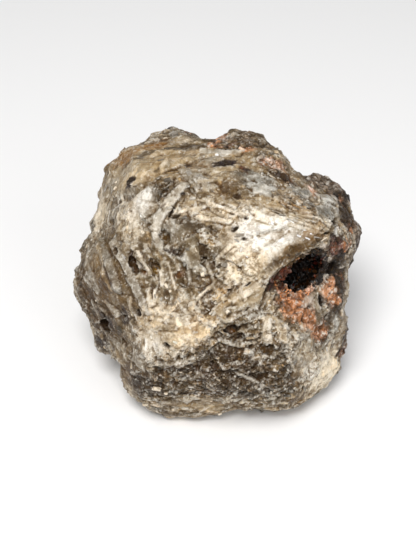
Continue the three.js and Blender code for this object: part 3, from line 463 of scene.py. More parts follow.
# Crystals that stand out by themselves, by the pixels of their two ends:
# [colour, x1, y1, x2, y2, width, rise, brightness].
BLADES = [
    ["ash", 112, 240, 131, 277, 2.2, 1.0, 0.78], ["ash", 131, 277, 150, 315, 2.3, 1.0, 0.72],
    ["ash", 98, 238, 118, 290, 2.4, 0.7, 0.65], ["milk", 136, 251, 151, 276, 1.1, 1.1, 1.1],
    ["ash", 187, 182, 168, 204, 3.2, 0.8, 1.1], ["ash", 171, 197, 158, 220, 3.2, 0.8, 1.2],
    ["ash", 161, 210, 153, 238, 2.8, 0.8, 1.15], ["ash", 154, 232, 162, 254, 2.3, 0.8, 1.1],
    ["ice", 166, 247, 186, 258, 2.4, 1.3, 0.95], ["ice", 184, 257, 204, 271, 2.4, 1.2, 0.95],
    ["grey", 188, 238, 196, 266, 4.2, 1.0, 0.95], ["milk", 149, 288, 150, 307, 1.1, 1.0, 1.1],
    ["milk", 155, 288, 155, 306, 1.2, 1.1, 1.1], ["milk", 131, 296, 133, 316, 1.0, 1.1, 1.1],
    ["milk", 265, 316, 267, 343, 2.6, 0.9, 0.85], ["sand", 274, 316, 279, 340, 1.8, 0.9, 1.0],
    ["sand", 281, 322, 285, 344, 1.8, 0.8, 1.0], ["sand", 222, 320, 262, 287, 2.2, 1.0, 0.95],
    ["tan", 214, 312, 254, 280, 2.0, 0.9, 1.0], ["milk", 232, 300, 262, 282, 1.6, 0.9, 0.9],
    ["ash", 182, 170, 200, 182, 3.2, 0.9, 0.85], ["ash", 196, 176, 214, 190, 2.6, 0.9, 0.8],
    ["sand", 205, 172, 236, 168, 3.0, 0.9, 0.85], ["ice", 247, 182, 272, 195, 2.4, 1.0, 1.0],
    ["ice", 258, 176, 266, 196, 2.6, 1.1, 1.0], ["ice", 252, 193, 276, 190, 2.2, 1.1, 1.05],
    ["steel", 286, 190, 309, 194, 3.0, 0.9, 1.05], ["ice", 318, 198, 338, 203, 3.6, 1.3, 1.2],
    ["steel", 316, 212, 338, 216, 4.6, 1.1, 0.95], ["sand", 160, 172, 200, 156, 1.8, 0.8, 1.0],
    ["ash", 200, 150, 240, 153, 1.8, 0.8, 1.0], ["milk", 216, 260, 232, 244, 1.2, 0.9, 1.0],
    ["milk", 196, 300, 210, 286, 1.0, 1.0, 1.1], ["milk", 208, 290, 222, 274, 1.0, 1.0, 1.1],
    ["ash", 150, 363, 172, 366, 2.4, 0.9, 0.95], ["ash", 174, 366, 206, 353, 2.4, 1.0, 0.95],
    ["ash", 133, 352, 145, 368, 3.6, 0.9, 0.9], ["ash", 184, 402, 197, 396, 2.6, 0.9, 1.05],
    ["ash", 222, 401, 238, 399, 2.8, 0.9, 1.1], ["tan", 294, 404, 302, 392, 1.8, 0.9, 0.9],
    ["chalk", 303, 306, 312, 290, 2.0, 1.1, 1.0], ["orange", 322, 296, 334, 278, 2.8, 1.0, 0.9],
    ["chalk", 326, 262, 322, 244, 1.6, 0.9, 1.0], ["cream", 322, 374, 336, 362, 3.2, 0.9, 1.05],
    ["cream", 330, 382, 342, 366, 2.6, 0.8, 1.0], ["ash", 104, 300, 120, 316, 2.6, 0.8, 0.85],
    ["ash", 86, 262, 100, 292, 2.8, 0.8, 0.8], ["sand", 104, 206, 98, 232, 2.0, 0.7, 0.95],
    ["milk", 240, 206, 284, 219, 0.8, 0.6, 1.0], ["sand", 262, 204, 312, 222, 0.9, 0.6, 1.0],
    ["milk", 270, 212, 322, 229, 0.7, 0.6, 1.0], ["ochre", 280, 203, 318, 218, 0.8, 0.5, 0.9],
    ["milk", 236, 213, 268, 222, 0.7, 0.5, 1.0], ["sand", 288, 222, 328, 233, 0.8, 0.6, 1.0],
    ["sand", 152, 331, 160, 327, 1.2, 0.7, 0.8], ["sand", 160, 327, 178, 328, 1.4, 0.7, 0.8],
    ["white", 146, 338, 150, 362, 1.2, 0.6, 1.0], ["cream", 188, 330, 194, 346, 1.4, 0.6, 1.0],
    ["ash", 92, 300, 108, 330, 1.2, 0.6, 0.8], ["grey", 98, 322, 112, 346, 1.4, 0.6, 0.9],
    ["sand", 128, 186, 146, 178, 1.2, 0.5, 1.0], ["ash", 112, 196, 108, 226, 1.4, 0.5, 1.0],
    ["milk", 122, 196, 118, 224, 1.2, 0.5, 1.0], ["grey", 140, 222, 156, 204, 1.0, 0.6, 0.8],
    ["ash", 144, 226, 160, 210, 0.9, 0.6, 1.0], ["tan", 104, 262, 112, 292, 1.4, 0.6, 0.9],
    ["tan", 97, 244, 105, 276, 1.8, 0.6, 0.9], ["ochre", 104, 300, 118, 320, 1.0, 0.4, 0.9],
    ["ash", 84, 278, 92, 286, 1.4, 0.6, 1.0], ["ash", 108, 336, 126, 352, 1.8, 0.5, 0.7],
    ["milk", 168, 262, 176, 290, 0.8, 0.7, 1.0], ["ash", 128, 300, 140, 324, 1.0, 0.7, 0.9],
    ["milk", 178, 212, 206, 206, 0.8, 0.6, 1.0], ["milk", 196, 216, 232, 222, 1.4, 0.6, 1.0],
    ["sand", 180, 204, 214, 199, 1.0, 0.6, 1.0], ["sand", 202, 188, 236, 208, 1.2, 0.6, 0.95],
    ["milk", 206, 200, 240, 214, 0.9, 0.6, 1.0], ["sand", 190, 186, 222, 178, 1.2, 0.6, 0.9],
    ["milk", 160, 262, 163, 286, 1.4, 0.8, 1.0], ["ash", 206, 262, 214, 284, 1.2, 0.7, 0.9],
    ["milk", 226, 262, 246, 300, 1.2, 0.6, 1.0], ["cream", 234, 256, 238, 284, 1.0, 0.5, 1.0],
    ["sand", 212, 286, 226, 300, 1.2, 0.7, 0.9], ["ash", 188, 262, 190, 284, 1.0, 0.7, 0.9],
    ["milk", 196, 312, 216, 326, 1.0, 0.6, 1.0], ["milk", 150, 318, 176, 322, 0.9, 0.6, 1.0],
    ["ash", 218, 340, 240, 346, 1.2, 0.7, 0.95], ["milk", 240, 346, 262, 340, 1.0, 0.7, 1.0],
    ["ash", 252, 360, 280, 352, 1.2, 0.7, 0.95], ["milk", 284, 352, 296, 372, 1.0, 0.6, 1.0],
    ["ash", 232, 372, 256, 380, 1.0, 0.6, 0.95], ["ash", 180, 380, 204, 374, 1.0, 0.6, 0.9],
    ["milk", 206, 384, 222, 392, 1.0, 0.6, 0.95], ["ash", 262, 384, 284, 392, 1.0, 0.6, 0.95],
    ["tan", 250, 200, 290, 210, 0.8, 0.5, 0.9], ["milk", 296, 214, 330, 226, 0.8, 0.6, 1.0],
]

# Open pits: [pixel x, y, half length, half width, turn, depth, colour].
PITS = [
    [130, 256, 5, 3.2, -70, 1.2, "brown"], [135, 266, 8, 3.8, -62, 1.7, "umber"],
    [142, 272, 5, 2.4, -25, 1.2, "umber"], [150, 262, 4, 3.2, -60, 1.2, "olive"],
    [156, 268, 5.5, 3.8, -50, 1.5, "moss"], [139, 266, 4.4, 2.8, -60, 1.7, "amber"],
    [157, 270, 4.2, 2.8, -50, 1.5, "yellow"], [164, 236, 6, 5, -40, 0.8, "tan"],
    [176, 252, 9, 4, -15, 1.4, "brown"], [112, 227, 9, 3, -82, 2.0, "peat"],
    [115, 250, 5, 2.5, -70, 1.3, "brown"], [230, 328, 8, 5, -10, 1.7, "peat"],
    [267, 350, 8, 4.5, -10, 1.2, "olive"], [106, 324, 9, 7, 10, 1.5, "brown"],
    [138, 313, 3.5, 2.6, -60, 1.6, "peat"], [125, 317, 2.5, 2, -60, 1.2, "peat"],
    [321, 300, 7.5, 2.8, -70, 2.4, "black"], [334, 268, 11, 6, 5, 2.4, "peat"],
    [335, 224, 11, 2.9, 66, 1.8, "black"], [246, 218, 2.4, 2.0, 0, 1.0, "peat"],
    [235, 229, 4, 2, 40, 1.0, "peat"], [244, 239, 2.8, 1.4, 10, 0.8, "peat"],
    [166, 346, 4.4, 2.8, -30, 1.6, "black"], [172, 213, 9, 1.2, 60, 0.9, "peat"],
    [181, 276, 3, 4.5, 0, 0.9, "amber"], [127, 182, 12, 4.6, 48, 0.35, "purple"],
    [224, 164, 14, 5.0, 18, 0.35, "purple"], [231, 328, 4.4, 2.2, -50, 1.3, "amber"],
    [327, 233, 5, 1.4, 10, 1.0, "black"], [183, 194, 2.4, 2.2, 0, 1.0, "peat"],
    [176, 216, 5, 1.8, 10, 1.0, "peat"], [144, 273, 3.8, 2.2, -25, 1.2, "amber"],
    [205, 258, 2, 1.6, 0, 1.0, "peat"], [248, 284, 4, 1.2, 35, 0.8, "peat"],
    [229, 290, 2, 1.6, 0, 0.8, "peat"],
]

# Host rock on the face: [pixel x, y, half length, half width, turn].
HOST = [
    [300, 308, 28, 11, -32], [322, 332, 14, 12, -50], [337, 290, 11, 28, 0], [337, 250, 15, 16, 0],
    [347, 215, 9, 24, 0], [330, 184, 24, 10, -30], [275, 164, 15, 6, -18], [240, 143, 34, 8, -4],
    [270, 284, 8, 10, 0], [342, 345, 5, 24, -8], [287, 177, 13, 6, -25],
]


def ellipse(points, x, y, along, across, turn):
    """How far points are from a place, counted in an ellipse's own half lengths. Turn is in degrees."""
    place, _ = on_face(x, y)
    offset = points - place
    c, s = math.cos(turn * RAD), math.sin(turn * RAD)
    a = (offset[:, 0] * c + offset[:, 1] * s) / (along * PIXEL)
    b = (offset[:, 1] * c - offset[:, 0] * s) / (across * PIXEL)
    d = offset[:, 2] / (max(along, across) * PIXEL + 1.5)
    return np.sqrt(a * a + b * b + d * d)


def host_share(points):
    """From 0 on the crystals to 1 on the host rock: the top, right and back, and patches of the face."""
    u, v, w = points.T
    rind = 0.55 * u / RIM + 0.55 * v / RIM - w / DEPTH - 0.35
    share = rising(-0.06, 0.06, rind + 0.12 * layered_noise(points, 9.0, 5))
    moved = wobbled(points, 0.8)
    for patch in HOST:
        share = np.maximum(share, falling(0.8, 1.15, ellipse(moved, *patch)))
    return share


def grit_at(points, host):
    """From 0 where the stone is smooth and milky to 1 where it is all small grains."""
    grit = 0.5 + 0.3 * layered_noise(points, 9.0, 33)
    moved = wobbled(points, 0.8)
    for share, *place in GRIT:
        grit += (share - grit) * falling(0.7, 1.25, ellipse(moved, *place))
    return np.clip(grit + 0.3 * host, 0, 1)


def blend(colour, other, weight):
    return colour + (other - colour) * weight[:, None]


def laid_over(ground, *layers):
    """A ground colour with others over it, each by its weight at every point."""
    colour = COLOUR[ground]
    for name, weight in layers:
        colour = blend(colour, COLOUR[name], weight)
    return colour


def deepened(colour):
    """Darker, richer and warmer in the dark tones, with whites kept."""
    over = np.maximum(colour.max(axis=1, keepdims=True) / 0.9, 1)
    return 0.9 * (np.maximum(colour / over, 0.003) / 0.9) ** (1.34, 1.37, 1.42)


def paint(points, host):
    """The specimen's colour at points, in linear light."""
    broad, middle, small = (layered_noise(points, scale, seed)
                            for scale, seed in ((11.0, 3), (4.0, 13), (1.8, 23)))
    crystal = laid_over("stone", ("tan", 0.5 * rising(0.0, 0.6, broad)),
                        ("grey", 0.7 * rising(0.1, 0.6, middle)),
                        ("milk", 0.6 * rising(0.2, 0.7, -middle)),
                        ("olive", 0.6 * rising(0.15, 0.5, small)))
    rock = laid_over("rind", ("bark", 0.95 * rising(-0.15, 0.4, middle)),
                     ("chalk", 0.8 * rising(0.25, 0.6, -middle)),
                     ("stone", 0.5 * rising(0.1, 0.6, -broad)),
                     ("orange", 0.85 * rising(0.25, 0.5, broad) * rising(-0.2, 0.3, small)),
                     ("olive", 0.7 * rising(0.3, 0.6, -broad) * rising(-0.1, 0.4, small)))
    colour = blend(crystal, rock, host)
    moved = wobbled(points, 0.7)
    for name, *place, strength in STAINS:
        colour = blend(colour, COLOUR[name], strength * falling(0.7, 1.2, ellipse(moved, *place)))
    return colour


# ---- Meshes ----

def add_object(name, data):
    obj = bpy.data.objects.new(name, data)
    bpy.context.collection.objects.link(obj)
    return obj


def dress_mesh(mesh, smooth, **attributes):
    """Gives a mesh its shading and, point by point, its colours, vectors or numbers."""
    mesh.polygons.foreach_set("use_smooth", [smooth] * len(mesh.polygons))
    for key, values in attributes.items():
        values = np.asarray(values, float)
        if values.ndim == 1:
            mesh.attributes.new(key, "FLOAT", "POINT").data.foreach_set("value", values)
        elif key == "paint":
            opaque = np.column_stack([values, np.ones(len(values))])
            mesh.attributes.new(key, "FLOAT_COLOR", "POINT").data.foreach_set("color", opaque.ravel())
        else:
            mesh.attributes.new(key, "FLOAT_VECTOR", "POINT").data.foreach_set("vector", values.ravel())
    mesh.update()


def remeshed(solid, name, voxel, finer_face=False):
    """A new object with a solid's shape in even small faces, halved again on the broad face if asked."""
    obj = add_object(name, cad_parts[solid].data.copy())
    remesh = obj.modifiers.new("remesh", "REMESH")
    remesh.mode = "VOXEL"
    remesh.voxel_size = voxel / 1000
    graph = bpy.context.evaluated_depsgraph_get()
    mesh = bpy.data.meshes.new_from_object(obj.evaluated_get(graph))
    obj.modifiers.clear()
    obj.data = mesh
    mesh.name = name
    mesh.materials.clear()
    if finer_face:
        work = bmesh.new()
        work.from_mesh(mesh)
        work.normal_update()
        toward = Vector(FACE[2])
        edges = {edge for face in work.faces if face.normal.dot(toward) > 0.2 for edge in face.edges}
        bmesh.ops.subdivide_edges(work, edges=list(edges), cuts=1, use_grid_fill=True)
        bmesh.ops.triangulate(work, faces=[face for face in work.faces if len(face.verts) > 4])
        work.to_mesh(mesh)
        work.free()
    return obj


def points_and_normals(mesh):
    points = values_of(mesh.vertices, "co", 3) * 1000
    return to_face(points), values_of(mesh.vertex_normals, "vector", 3) @ FACE.T


def move_points(mesh, points):
    mesh.vertices.foreach_set("co", (to_row(points) / 1000).ravel())


def in_box(points):
    """Points held inside the box of the solids, by a hair."""
    low, high = (np.array(corner) for corner in cad_box)
    return to_face(np.clip(to_row(points) / 1000, low + HAIR, high - HAIR) * 1000)


def nearest(points, sites, count):
    """For each point, the numbers of its nearest sites."""
    tree = KDTree(len(sites))
    for i, site in enumerate(sites):
        tree.insert(site, i)
    tree.balance()
    return np.array([[hit[1] for hit in tree.find_n(p, count)] for p in points])


def unit_rows(ways):
    return ways / np.maximum(np.linalg.norm(ways, axis=1, keepdims=True), 1e-6)


def flattened(ways, normals):
    """Unit directions like these, bent into the surface."""
    return unit_rows(ways - normals * (ways * normals).sum(1, keepdims=True))


def laid_along(headings, normals):
    """Directions in the picture, in degrees counter-clockwise from the right, bent into the surface."""
    flat = np.stack([np.cos(headings * RAD), np.sin(headings * RAD), np.zeros(len(headings))], axis=1)
    return flattened(flat, normals)


def apart_by(numbers):
    """A shift for each crystal's number that gives every crystal its own stretch of the streaks."""
    return numbers[:, None] * (3.7, 1.9, 0.0)


# ---- The lump ----

flow_places = np.array([on_face(x, y)[0] for x, y, *_ in FLOWS])
flow_rows = np.array([row[2:] for row in FLOWS])


def growth_at(places, rng):
    """How the crystals lie at each place: heading, length, width and density."""
    reach, heading, *ways = flow_rows.T
    apart = np.linalg.norm(places[:, None] - flow_places[None], axis=2) / (reach * PIXEL)
    pull = np.exp(-apart ** 2) * rng.uniform(0.5, 1.5, apart.shape)
    best = pull.argmax(1)
    led = pull.max(1) > LEAST_PULL
    spread, length, width, density = (np.where(led, way[best], loose) for way, loose in zip(ways, LOOSE))
    heading = np.where(led, heading[best], 180 * smooth_noise(places, 12.0, 77))
    return heading + spread * rng.normal(0, 1, len(places)), length, width, density


def shards(points, normals, spacing, slimness, seed):
    """The surface shared out among long crystals that lie as the growths do.

    Gives each point its crystal's number, its place along, across and out from that crystal's
    middle, how near it is to the crystal's edge, from 0, and where that middle is.
    """
    rng = np.random.default_rng(seed)
    chosen = rng.choice(len(points), int(AREA / spacing ** 2), replace=False)
    sites, out = points[chosen], normals[chosen]
    heading, length, width, _ = growth_at(sites, rng)
    along = laid_along(heading, out)
    stretch = np.sqrt(np.clip(length / width, 1, slimness)) * rng.uniform(0.8, 1.2, len(sites))
    size = spacing * rng.uniform(0.75, 1.35, len(sites))
    which = nearest(points, sites, RIVALS)
    offset = points[:, None] - sites[which]
    lay = np.stack([(offset * way[which]).sum(2) for way in (along, np.cross(out, along), out)], axis=2)
    reach = np.stack([size * stretch, size / stretch, size], axis=1)
    apart = np.linalg.norm(lay / reach[which], axis=2)
    rows = np.arange(len(points))
    best, second = np.argsort(apart, axis=1)[:, :2].T
    own = which[rows, best]
    return own, lay[rows, best], apart[rows, second] - apart[rows, best], sites[own]


def hollowness(mesh, points, normals, rounds):
    """How far each point lies below its surroundings; more rounds take in more of them."""
    first, second = values_of(mesh.edges, "vertices", 2, int).T
    start, stop = np.concatenate([first, second]), np.concatenate([second, first])
    number = np.bincount(start, minlength=len(points))[:, None]
    smooth = points
    for _ in range(rounds):
        total = [np.bincount(start, weights=smooth[stop, k], minlength=len(points)) for k in range(3)]
        smooth = 0.5 * smooth + 0.5 * np.stack(total, axis=1) / number
    return ((smooth - points) * normals).sum(1)


def lay_marks(points, settled, colour):
    """The strong marks, with frayed edges."""
    moved = wobbled(settled, 0.4)
    ragged = layered_noise(points, 1.6, 95)
    vary = np.exp(0.2 * smooth_noise(points, 1.3, 92))[:, None]
    for name, *place, strength in MARKS:
        fray = 0.05 * min(place[3], 8)
        reach = ellipse(moved, *place) + fray * ragged
        colour = blend(colour, COLOUR[name] * vary, strength * falling(0.9 - fray, 1.1 + fray / 2, reach))
    return colour


def raise_blades(points, height, colour, grit, lay):
    """The crystals that the photograph shows one by one, raised from the skin, darker on their lower side
    through painted shadow in a groove beside each, and with painted highlights along their edges.
    """
    rng = np.random.default_rng(3)
    moved = wobbled(points, 0.08)
    uneven, broken, highlight_gaps, mottled = (smooth_noise(points, scale, seed)
                                     for scale, seed in ((2.2, 96), (2.5, 93), (1.8, 94), (1.6, 91)))
    for name, x1, y1, x2, y2, width, rise, bright in BLADES:
        (start, out_1), (stop, out_2) = on_face(x1, y1), on_face(x2, y2)
        length = np.linalg.norm(stop - start)
        along = (stop - start) / length
        out = out_1 + out_2
        out -= along * (out @ along)
        out /= np.linalg.norm(out)
        across = np.cross(out, along)
        roll = rng.uniform(-0.35, 0.35)
        taper = rng.uniform(-0.25, 0.25)
        slant = rng.uniform(-0.8, 0.8)
        offset = moved - (start + stop) / 2
        a, b, c = offset @ along, offset @ across, offset @ out
        from_side = width / 2 * (1 + taper * 2 * a / length) - np.abs(b)
        from_end = length / 2 - np.abs(a + slant * b)
        inward = np.where(np.abs(c) < 3, np.minimum(from_side, from_end), -9)
        body = rising(-0.1, 0.2, inward) * (0.5 + 0.5 * rising(-0.4, 0.2, uneven))
        # A groove beside each blade, with painted shadow in it, strongest on the blade's lower side.
        groove_and_shadow = rising(-0.7, -0.25, inward) * falling(-0.25, 0.05, inward)
        groove_and_shadow *= rising(-0.2, 0.4, broken) * np.where(b * across[1] < 0, 1.0, 0.25)
        height += (rise * 0.4 + roll * b - height * 0.8) * body - 0.2 * groove_and_shadow
        # Painted highlight along each blade's edges, in patches.
        rim = body * falling(0.15, 0.5, inward) * rising(-0.3, 0.5, highlight_gaps)
        shade = blend(COLOUR[name] * bright * np.exp(0.25 * mottled)[:, None], COLOUR["white"], 0.6 * rim)
        colour += (shade - colour) * (0.75 * body)[:, None]
        colour *= 1 - groove_and_shadow[:, None] * GROOVE_SHADOW
        grit *= 1 - 0.7 * body
        lay += (np.stack([a + 9.1 * length, b, c], axis=1) - lay) * (body > 0.5)[:, None]
    return height, colour, grit, lay


def sink_pits(points, angular, height, colour, grit):
    """The open pits; also how free their walls stay of the painted shade and brown staining of hollows, from
    1 outside them.
    """
    free_of_hollow_shade = np.ones(len(points))
    for x, y, along, across, turn, depth, name in PITS:
        spots = angular if across > 3 else points
        share = falling(0.6, 1.1, ellipse(spots, x, y, along, across, turn))
        height = height * (1 - share) - depth * share
        colour = blend(colour, COLOUR[name], share)
        grit = np.maximum(grit, share)
        free_of_hollow_shade = np.minimum(free_of_hollow_shade, 1 - 0.75 * share)
    return height, colour, grit, free_of_hollow_shade


def make_rock():
    """The whole lump: broken crystal and knobbly rind in one skin."""
    rng = np.random.default_rng(8)
    rock = remeshed("celestite_mass", "celestite_rock", ROCK_VOXEL, finer_face=True)
    points, normals = points_and_normals(rock.data)
    layers = [shards(points, normals, row[0], SLIMMEST, seed) for seed, row in enumerate(SHARDS, 7)]
    middle_sites, small_sites = layers[1][3], layers[2][3]
    settled = points + SETTLING * (middle_sites - points)
    closely = points + SETTLING * (small_sites - points)
    host = host_share(closely)
    crystal = 1 - host
    grit = grit_at(settled, host)
    height = 0.14 * layered_noise(points, 1.5, 2) * (0.35 + 0.65 * grit)
    colour = paint(settled, host)
    shares = [crystal * (0.15 + 0.85 * grit), crystal * (0.1 + 0.9 * grit),
              np.maximum(crystal * grit ** 2, 0.3 * host)]
    dark = np.zeros(len(points))
    for (own, lay, edge, _), share, (_, step, slope, depth, shade, vary) in zip(layers, shares, SHARDS):
        count = own.max() + 1
        lean = rng.normal(0, slope, (count, 2)) * (0.4, 1.0)
        crevice = falling(0.0, 0.25, edge) * (rng.random(count) ** 1.3)[own]
        rise = rng.uniform(-step, step, count)[own] + (lean[own] * lay[:, :2]).sum(1)
        height += share * (rise - depth * crevice)
        dark = np.maximum(dark, shade * share * crevice)
        colour *= (1 + (np.exp(rng.normal(0, vary, count))[own] - 1) * share)[:, None]
        sway = rng.uniform(-1, 1, count)[own]
        colour = blend(colour, colour * BROWNED, rising(0.6, 0.8, sway) * share * 0.8)
        colour = blend(colour, COLOUR["white"], rising(0.88, 0.92, -sway) * share * 0.55)
    lay = lay + apart_by(own)
    knob, _, knob_edge, _ = shards(points, normals, KNOB, slimness=1.2, seed=57)
    swell = rng.uniform(-0.35, 0.35, knob.max() + 1)[knob] + 1.1 * np.sqrt(np.clip(knob_edge, 0, 1)) - 0.6
    height += host * swell
    # Painted shade with brown staining in the crevices between shards.
    colour = blend(colour, 0.3 * colour + 0.65 * COLOUR["umber"], dark)
    colour = blend(colour, colour * SHADOWED, falling(0.0, 0.3, knob_edge) * 0.85 * host)
    colour = lay_marks(points, closely, colour)
    height, colour, grit, lay = raise_blades(points, height, colour, grit, lay)
    height, colour, grit, free_of_hollow_shade = sink_pits(points, wobbled(small_sites, 0.5), height, colour, grit)
    druse_tree = tree_of(*triangles_of(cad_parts["vug_druse"]))
    clear = np.array([druse_tree.find_nearest(Vector(p), FAR)[3] or FAR for p in points])
    height *= rising(*VUG_CLEARANCE, clear)
    points = in_box(points + normals * height[:, None])
    move_points(rock.data, points)
    fine, broad = (hollowness(rock.data, points, normals, rounds) for rounds in (8, 60))
    # Painted shade with brown staining in the hollows: the further a point lies below its surroundings, the
    # darker and browner, except on the pits' walls.
    hollow_shade_and_stain = np.clip(rising(0.03, 0.3, fine) * 0.55 + rising(0.1, 0.7, broad) * 0.7, 0, 0.9) * free_of_hollow_shade
    colour = blend(colour, colour * HOLLOW_SHADE_AND_STAIN + 0.55 * COLOUR["umber"] * crystal[:, None], hollow_shade_and_stain)
    # Painted highlight: raised places on the crystal made paler, towards white.
    colour = blend(colour, COLOUR["white"], rising(0.04, 0.3, -fine) * 0.3 * crystal)
    dress_mesh(rock.data, True, paint=deepened(colour), grit=grit, lay=lay)
    return rock


# ---- Single crystals ----

# A tabular crystal of unit size: a long six-sided plate with chisel ends.
PLATE_OUTLINE = [[-0.5, 0], [-0.36, -0.5], [0.36, -0.5], [0.5, 0], [0.36, 0.5], [-0.36, 0.5]]
PLATE_POINTS = np.array([[x, y, z] for z in (-0.5, 0.5) for x, y in PLATE_OUTLINE])
PLATE_FACES = [[5, 4, 3, 2, 1, 0], [6, 7, 8, 9, 10, 11]] + [
    [i, (i + 1) % 6, (i + 1) % 6 + 6, i + 6] for i in range(6)]
CORNERS = len(PLATE_POINTS)


def grow(name, places, along, normals, sizes, colours, grit, jitter, seed):
    """One object holding a crystal at each place, lying along `along` with its face to `normals`."""
    rng = np.random.default_rng(seed)
    count = len(places)
    across = unit_rows(np.cross(normals, along))
    axes = np.stack([along, across, np.cross(along, across)], axis=1)
    local = PLATE_POINTS * (1 + rng.uniform(-jitter, jitter, (count, CORNERS, 3))) * sizes[:, None]
    points = in_box((places[:, None] + local @ axes).reshape(-1, 3))
    faces = [[corner + CORNERS * i for corner in face] for i in range(count) for face in PLATE_FACES]
    lay = local + apart_by(np.arange(count))[:, None]
    mesh = bpy.data.meshes.new(name)
    mesh.from_pydata((to_row(points) / 1000).tolist(), [], faces)
    dress_mesh(mesh, False, paint=np.repeat(deepened(colours), CORNERS, axis=0),
               grit=np.repeat(grit, CORNERS), lay=lay.reshape(-1, 3))
    return add_object(name, mesh)


def tilted(along, normals, pitch, roll):
    """The same directions with each crystal pitched up and rolled about its length, in degrees."""
    across = np.cross(normals, along)
    p, r = (pitch * RAD)[:, None], (roll * RAD)[:, None]
    new_along = along * np.cos(p) + normals * np.sin(p)
    new_normal = np.cross(new_along, across)
    return new_along, new_normal * np.cos(r) + across * np.sin(r)


def scattered(count, seed):
    """Random places on the solid, even over its surface, with their normals."""
    rng = np.random.default_rng(seed)
    corner, second, third = lump_points[lump_triangles].transpose(1, 0, 2)
    one, other = second - corner, third - corner
    cross = np.cross(one, other)
    size = np.linalg.norm(cross, axis=1)
    chosen = rng.choice(len(corner), count, p=size / size.sum())
    a, b = rng.random((2, count, 1))
    a, b = np.where(a + b > 1, (1 - a, 1 - b), (a, b))
    return corner[chosen] + a * one[chosen] + b * other[chosen], cross[chosen] / size[chosen, None]


def make_chips(name, count, scale, seed):
    """Crystals strewn over the lump, each lying as the growths round it do."""
    rng = np.random.default_rng(seed)
    places, normals = scattered(count, seed)
    heading, length, width, density = growth_at(places, rng)
    host = host_share(places)
    grit = grit_at(places, host)
    small = scale < 0.6
    chance = density / 1.8 * (np.maximum(grit, density - 1.2) if small else 1)
    row = to_row(places)
    # None on host rock, beside the vug, in a pit or right above the floor.
    by_vug = ((row > VUG_BOX[0] - 1.0) & (row < VUG_BOX[1] + 1.0)).all(1)
    keep = (rng.random(count) < chance) & (host < 0.5) & (row[:, 2] > 0.6) & ~by_vug
    for pit in PITS:
        keep &= ellipse(places, *pit[:5]) > 1.6
    places, normals, heading, length, width = (a[keep] for a in (places, normals, heading, length, width))
    n = len(places)
    length = np.minimum(length, np.where(width < 1, 5.0, 2.6) * width) * rng.uniform(0.45, 1.25, n) * scale
    width = width * rng.uniform(0.5, 1.3, n) * scale
    thickness = np.maximum(width * rng.uniform(0.6, 1.1, n), 0.8 * scale)
    colours = paint(places, host[keep])
    bright = np.exp(rng.normal(0.0, 0.25, n))[:, None]
    grey = colours.mean(1, keepdims=True)
    colours = np.clip((colours + (grey - colours) * rng.uniform(0.1, 0.7, (n, 1))) * bright, 0, 0.9)
    if small:
        colours[rng.random(n) < 0.08] = COLOUR["milk"]
    along, face = tilted(laid_along(heading, normals), normals, rng.normal(0, 4, n), rng.normal(0, 20, n))
    places = places + normals * (rng.uniform(-0.2, 0.3, n) - thickness / 2)[:, None]
    sizes = np.stack([length, width, thickness], axis=1)
    return grow(name, places, along, face, sizes, colours, grit[keep], jitter=0.25, seed=seed + 1)


# ---- The vug ----

# What rings its mouth: [from this many degrees counter-clockwise of its right, colour, reach inward].
RIM_SIDES = [[0, "bark", -0.5], [55, "olive", -0.5], [150, "rust", 0.9], [215, "orange", 0.7],
             [250, "orange", -0.6], [300, "salmon", -0.6], [330, "peat", -0.3]]
SECTORS = 24  # of its rim, each with a height of its own


def rim_height(offset):
    """How far out the crust's rim stands on the side where each point is."""
    side = np.arctan2(offset[:, 1], offset[:, 0])
    sector = ((side / math.pi + 1) * SECTORS / 2).astype(int) % SECTORS
    out = offset @ VUG_AXIS
    return np.array([out[sector == i].max() if (sector == i).any() else 0.0 for i in range(SECTORS)])[sector]


def make_crust():
    """The dark crust of the vug, and where its inside and its rim are."""
    crust = remeshed("vug_druse", "druse_crust", CRUST_VOXEL)
    points, normals = points_and_normals(crust.data)
    middle = to_face(VUG_BOX.mean(axis=0))
    inside = ((middle - points) * normals).sum(1) > 0
    rim = rising(-2.4, -0.6, (points - middle) @ VUG_AXIS - rim_height(points - middle))
    bumps = 0.25 * layered_noise(points, 0.9, 4)
    points = in_box(points + normals * np.where(inside, bumps, 0)[:, None])
    move_points(crust.data, points)
    colour = laid_over("black", ("peat", rising(-0.3, 0.6, layered_noise(points, 2.5, 6))))
    colour = blend(colour, paint(points, np.ones(len(points))), rim)
    dress_mesh(crust.data, True, paint=deepened(colour), grit=np.zeros(len(points)), lay=points)
    return crust, points, normals, middle, inside, rim


def make_druse_points(count, points, normals, inside):
    """Small dark crystals pointing into the vug."""
    rng = np.random.default_rng(12)
    chosen = rng.choice(np.flatnonzero(inside), count, replace=False)
    along = unit_rows(normals[chosen] + rng.normal(0, 0.35, (count, 3)))
    side = unit_rows(np.cross(along, rng.normal(0, 1, (count, 3))))
    radius = rng.uniform(0.45, 1.0, count)
    sizes = np.stack([rng.uniform(0.9, 1.9, count), radius, radius], axis=1)
    names = rng.choice(["black", "peat", "wine", "rust", "brown"], count, p=[0.6, 0.28, 0.02, 0.02, 0.08])
    colours = np.array([COLOUR[name] for name in names])
    places = points[chosen] + along * 0.2
    return grow("druse_points", places, along, side, sizes, colours, np.zeros(count), jitter=0.12, seed=13)


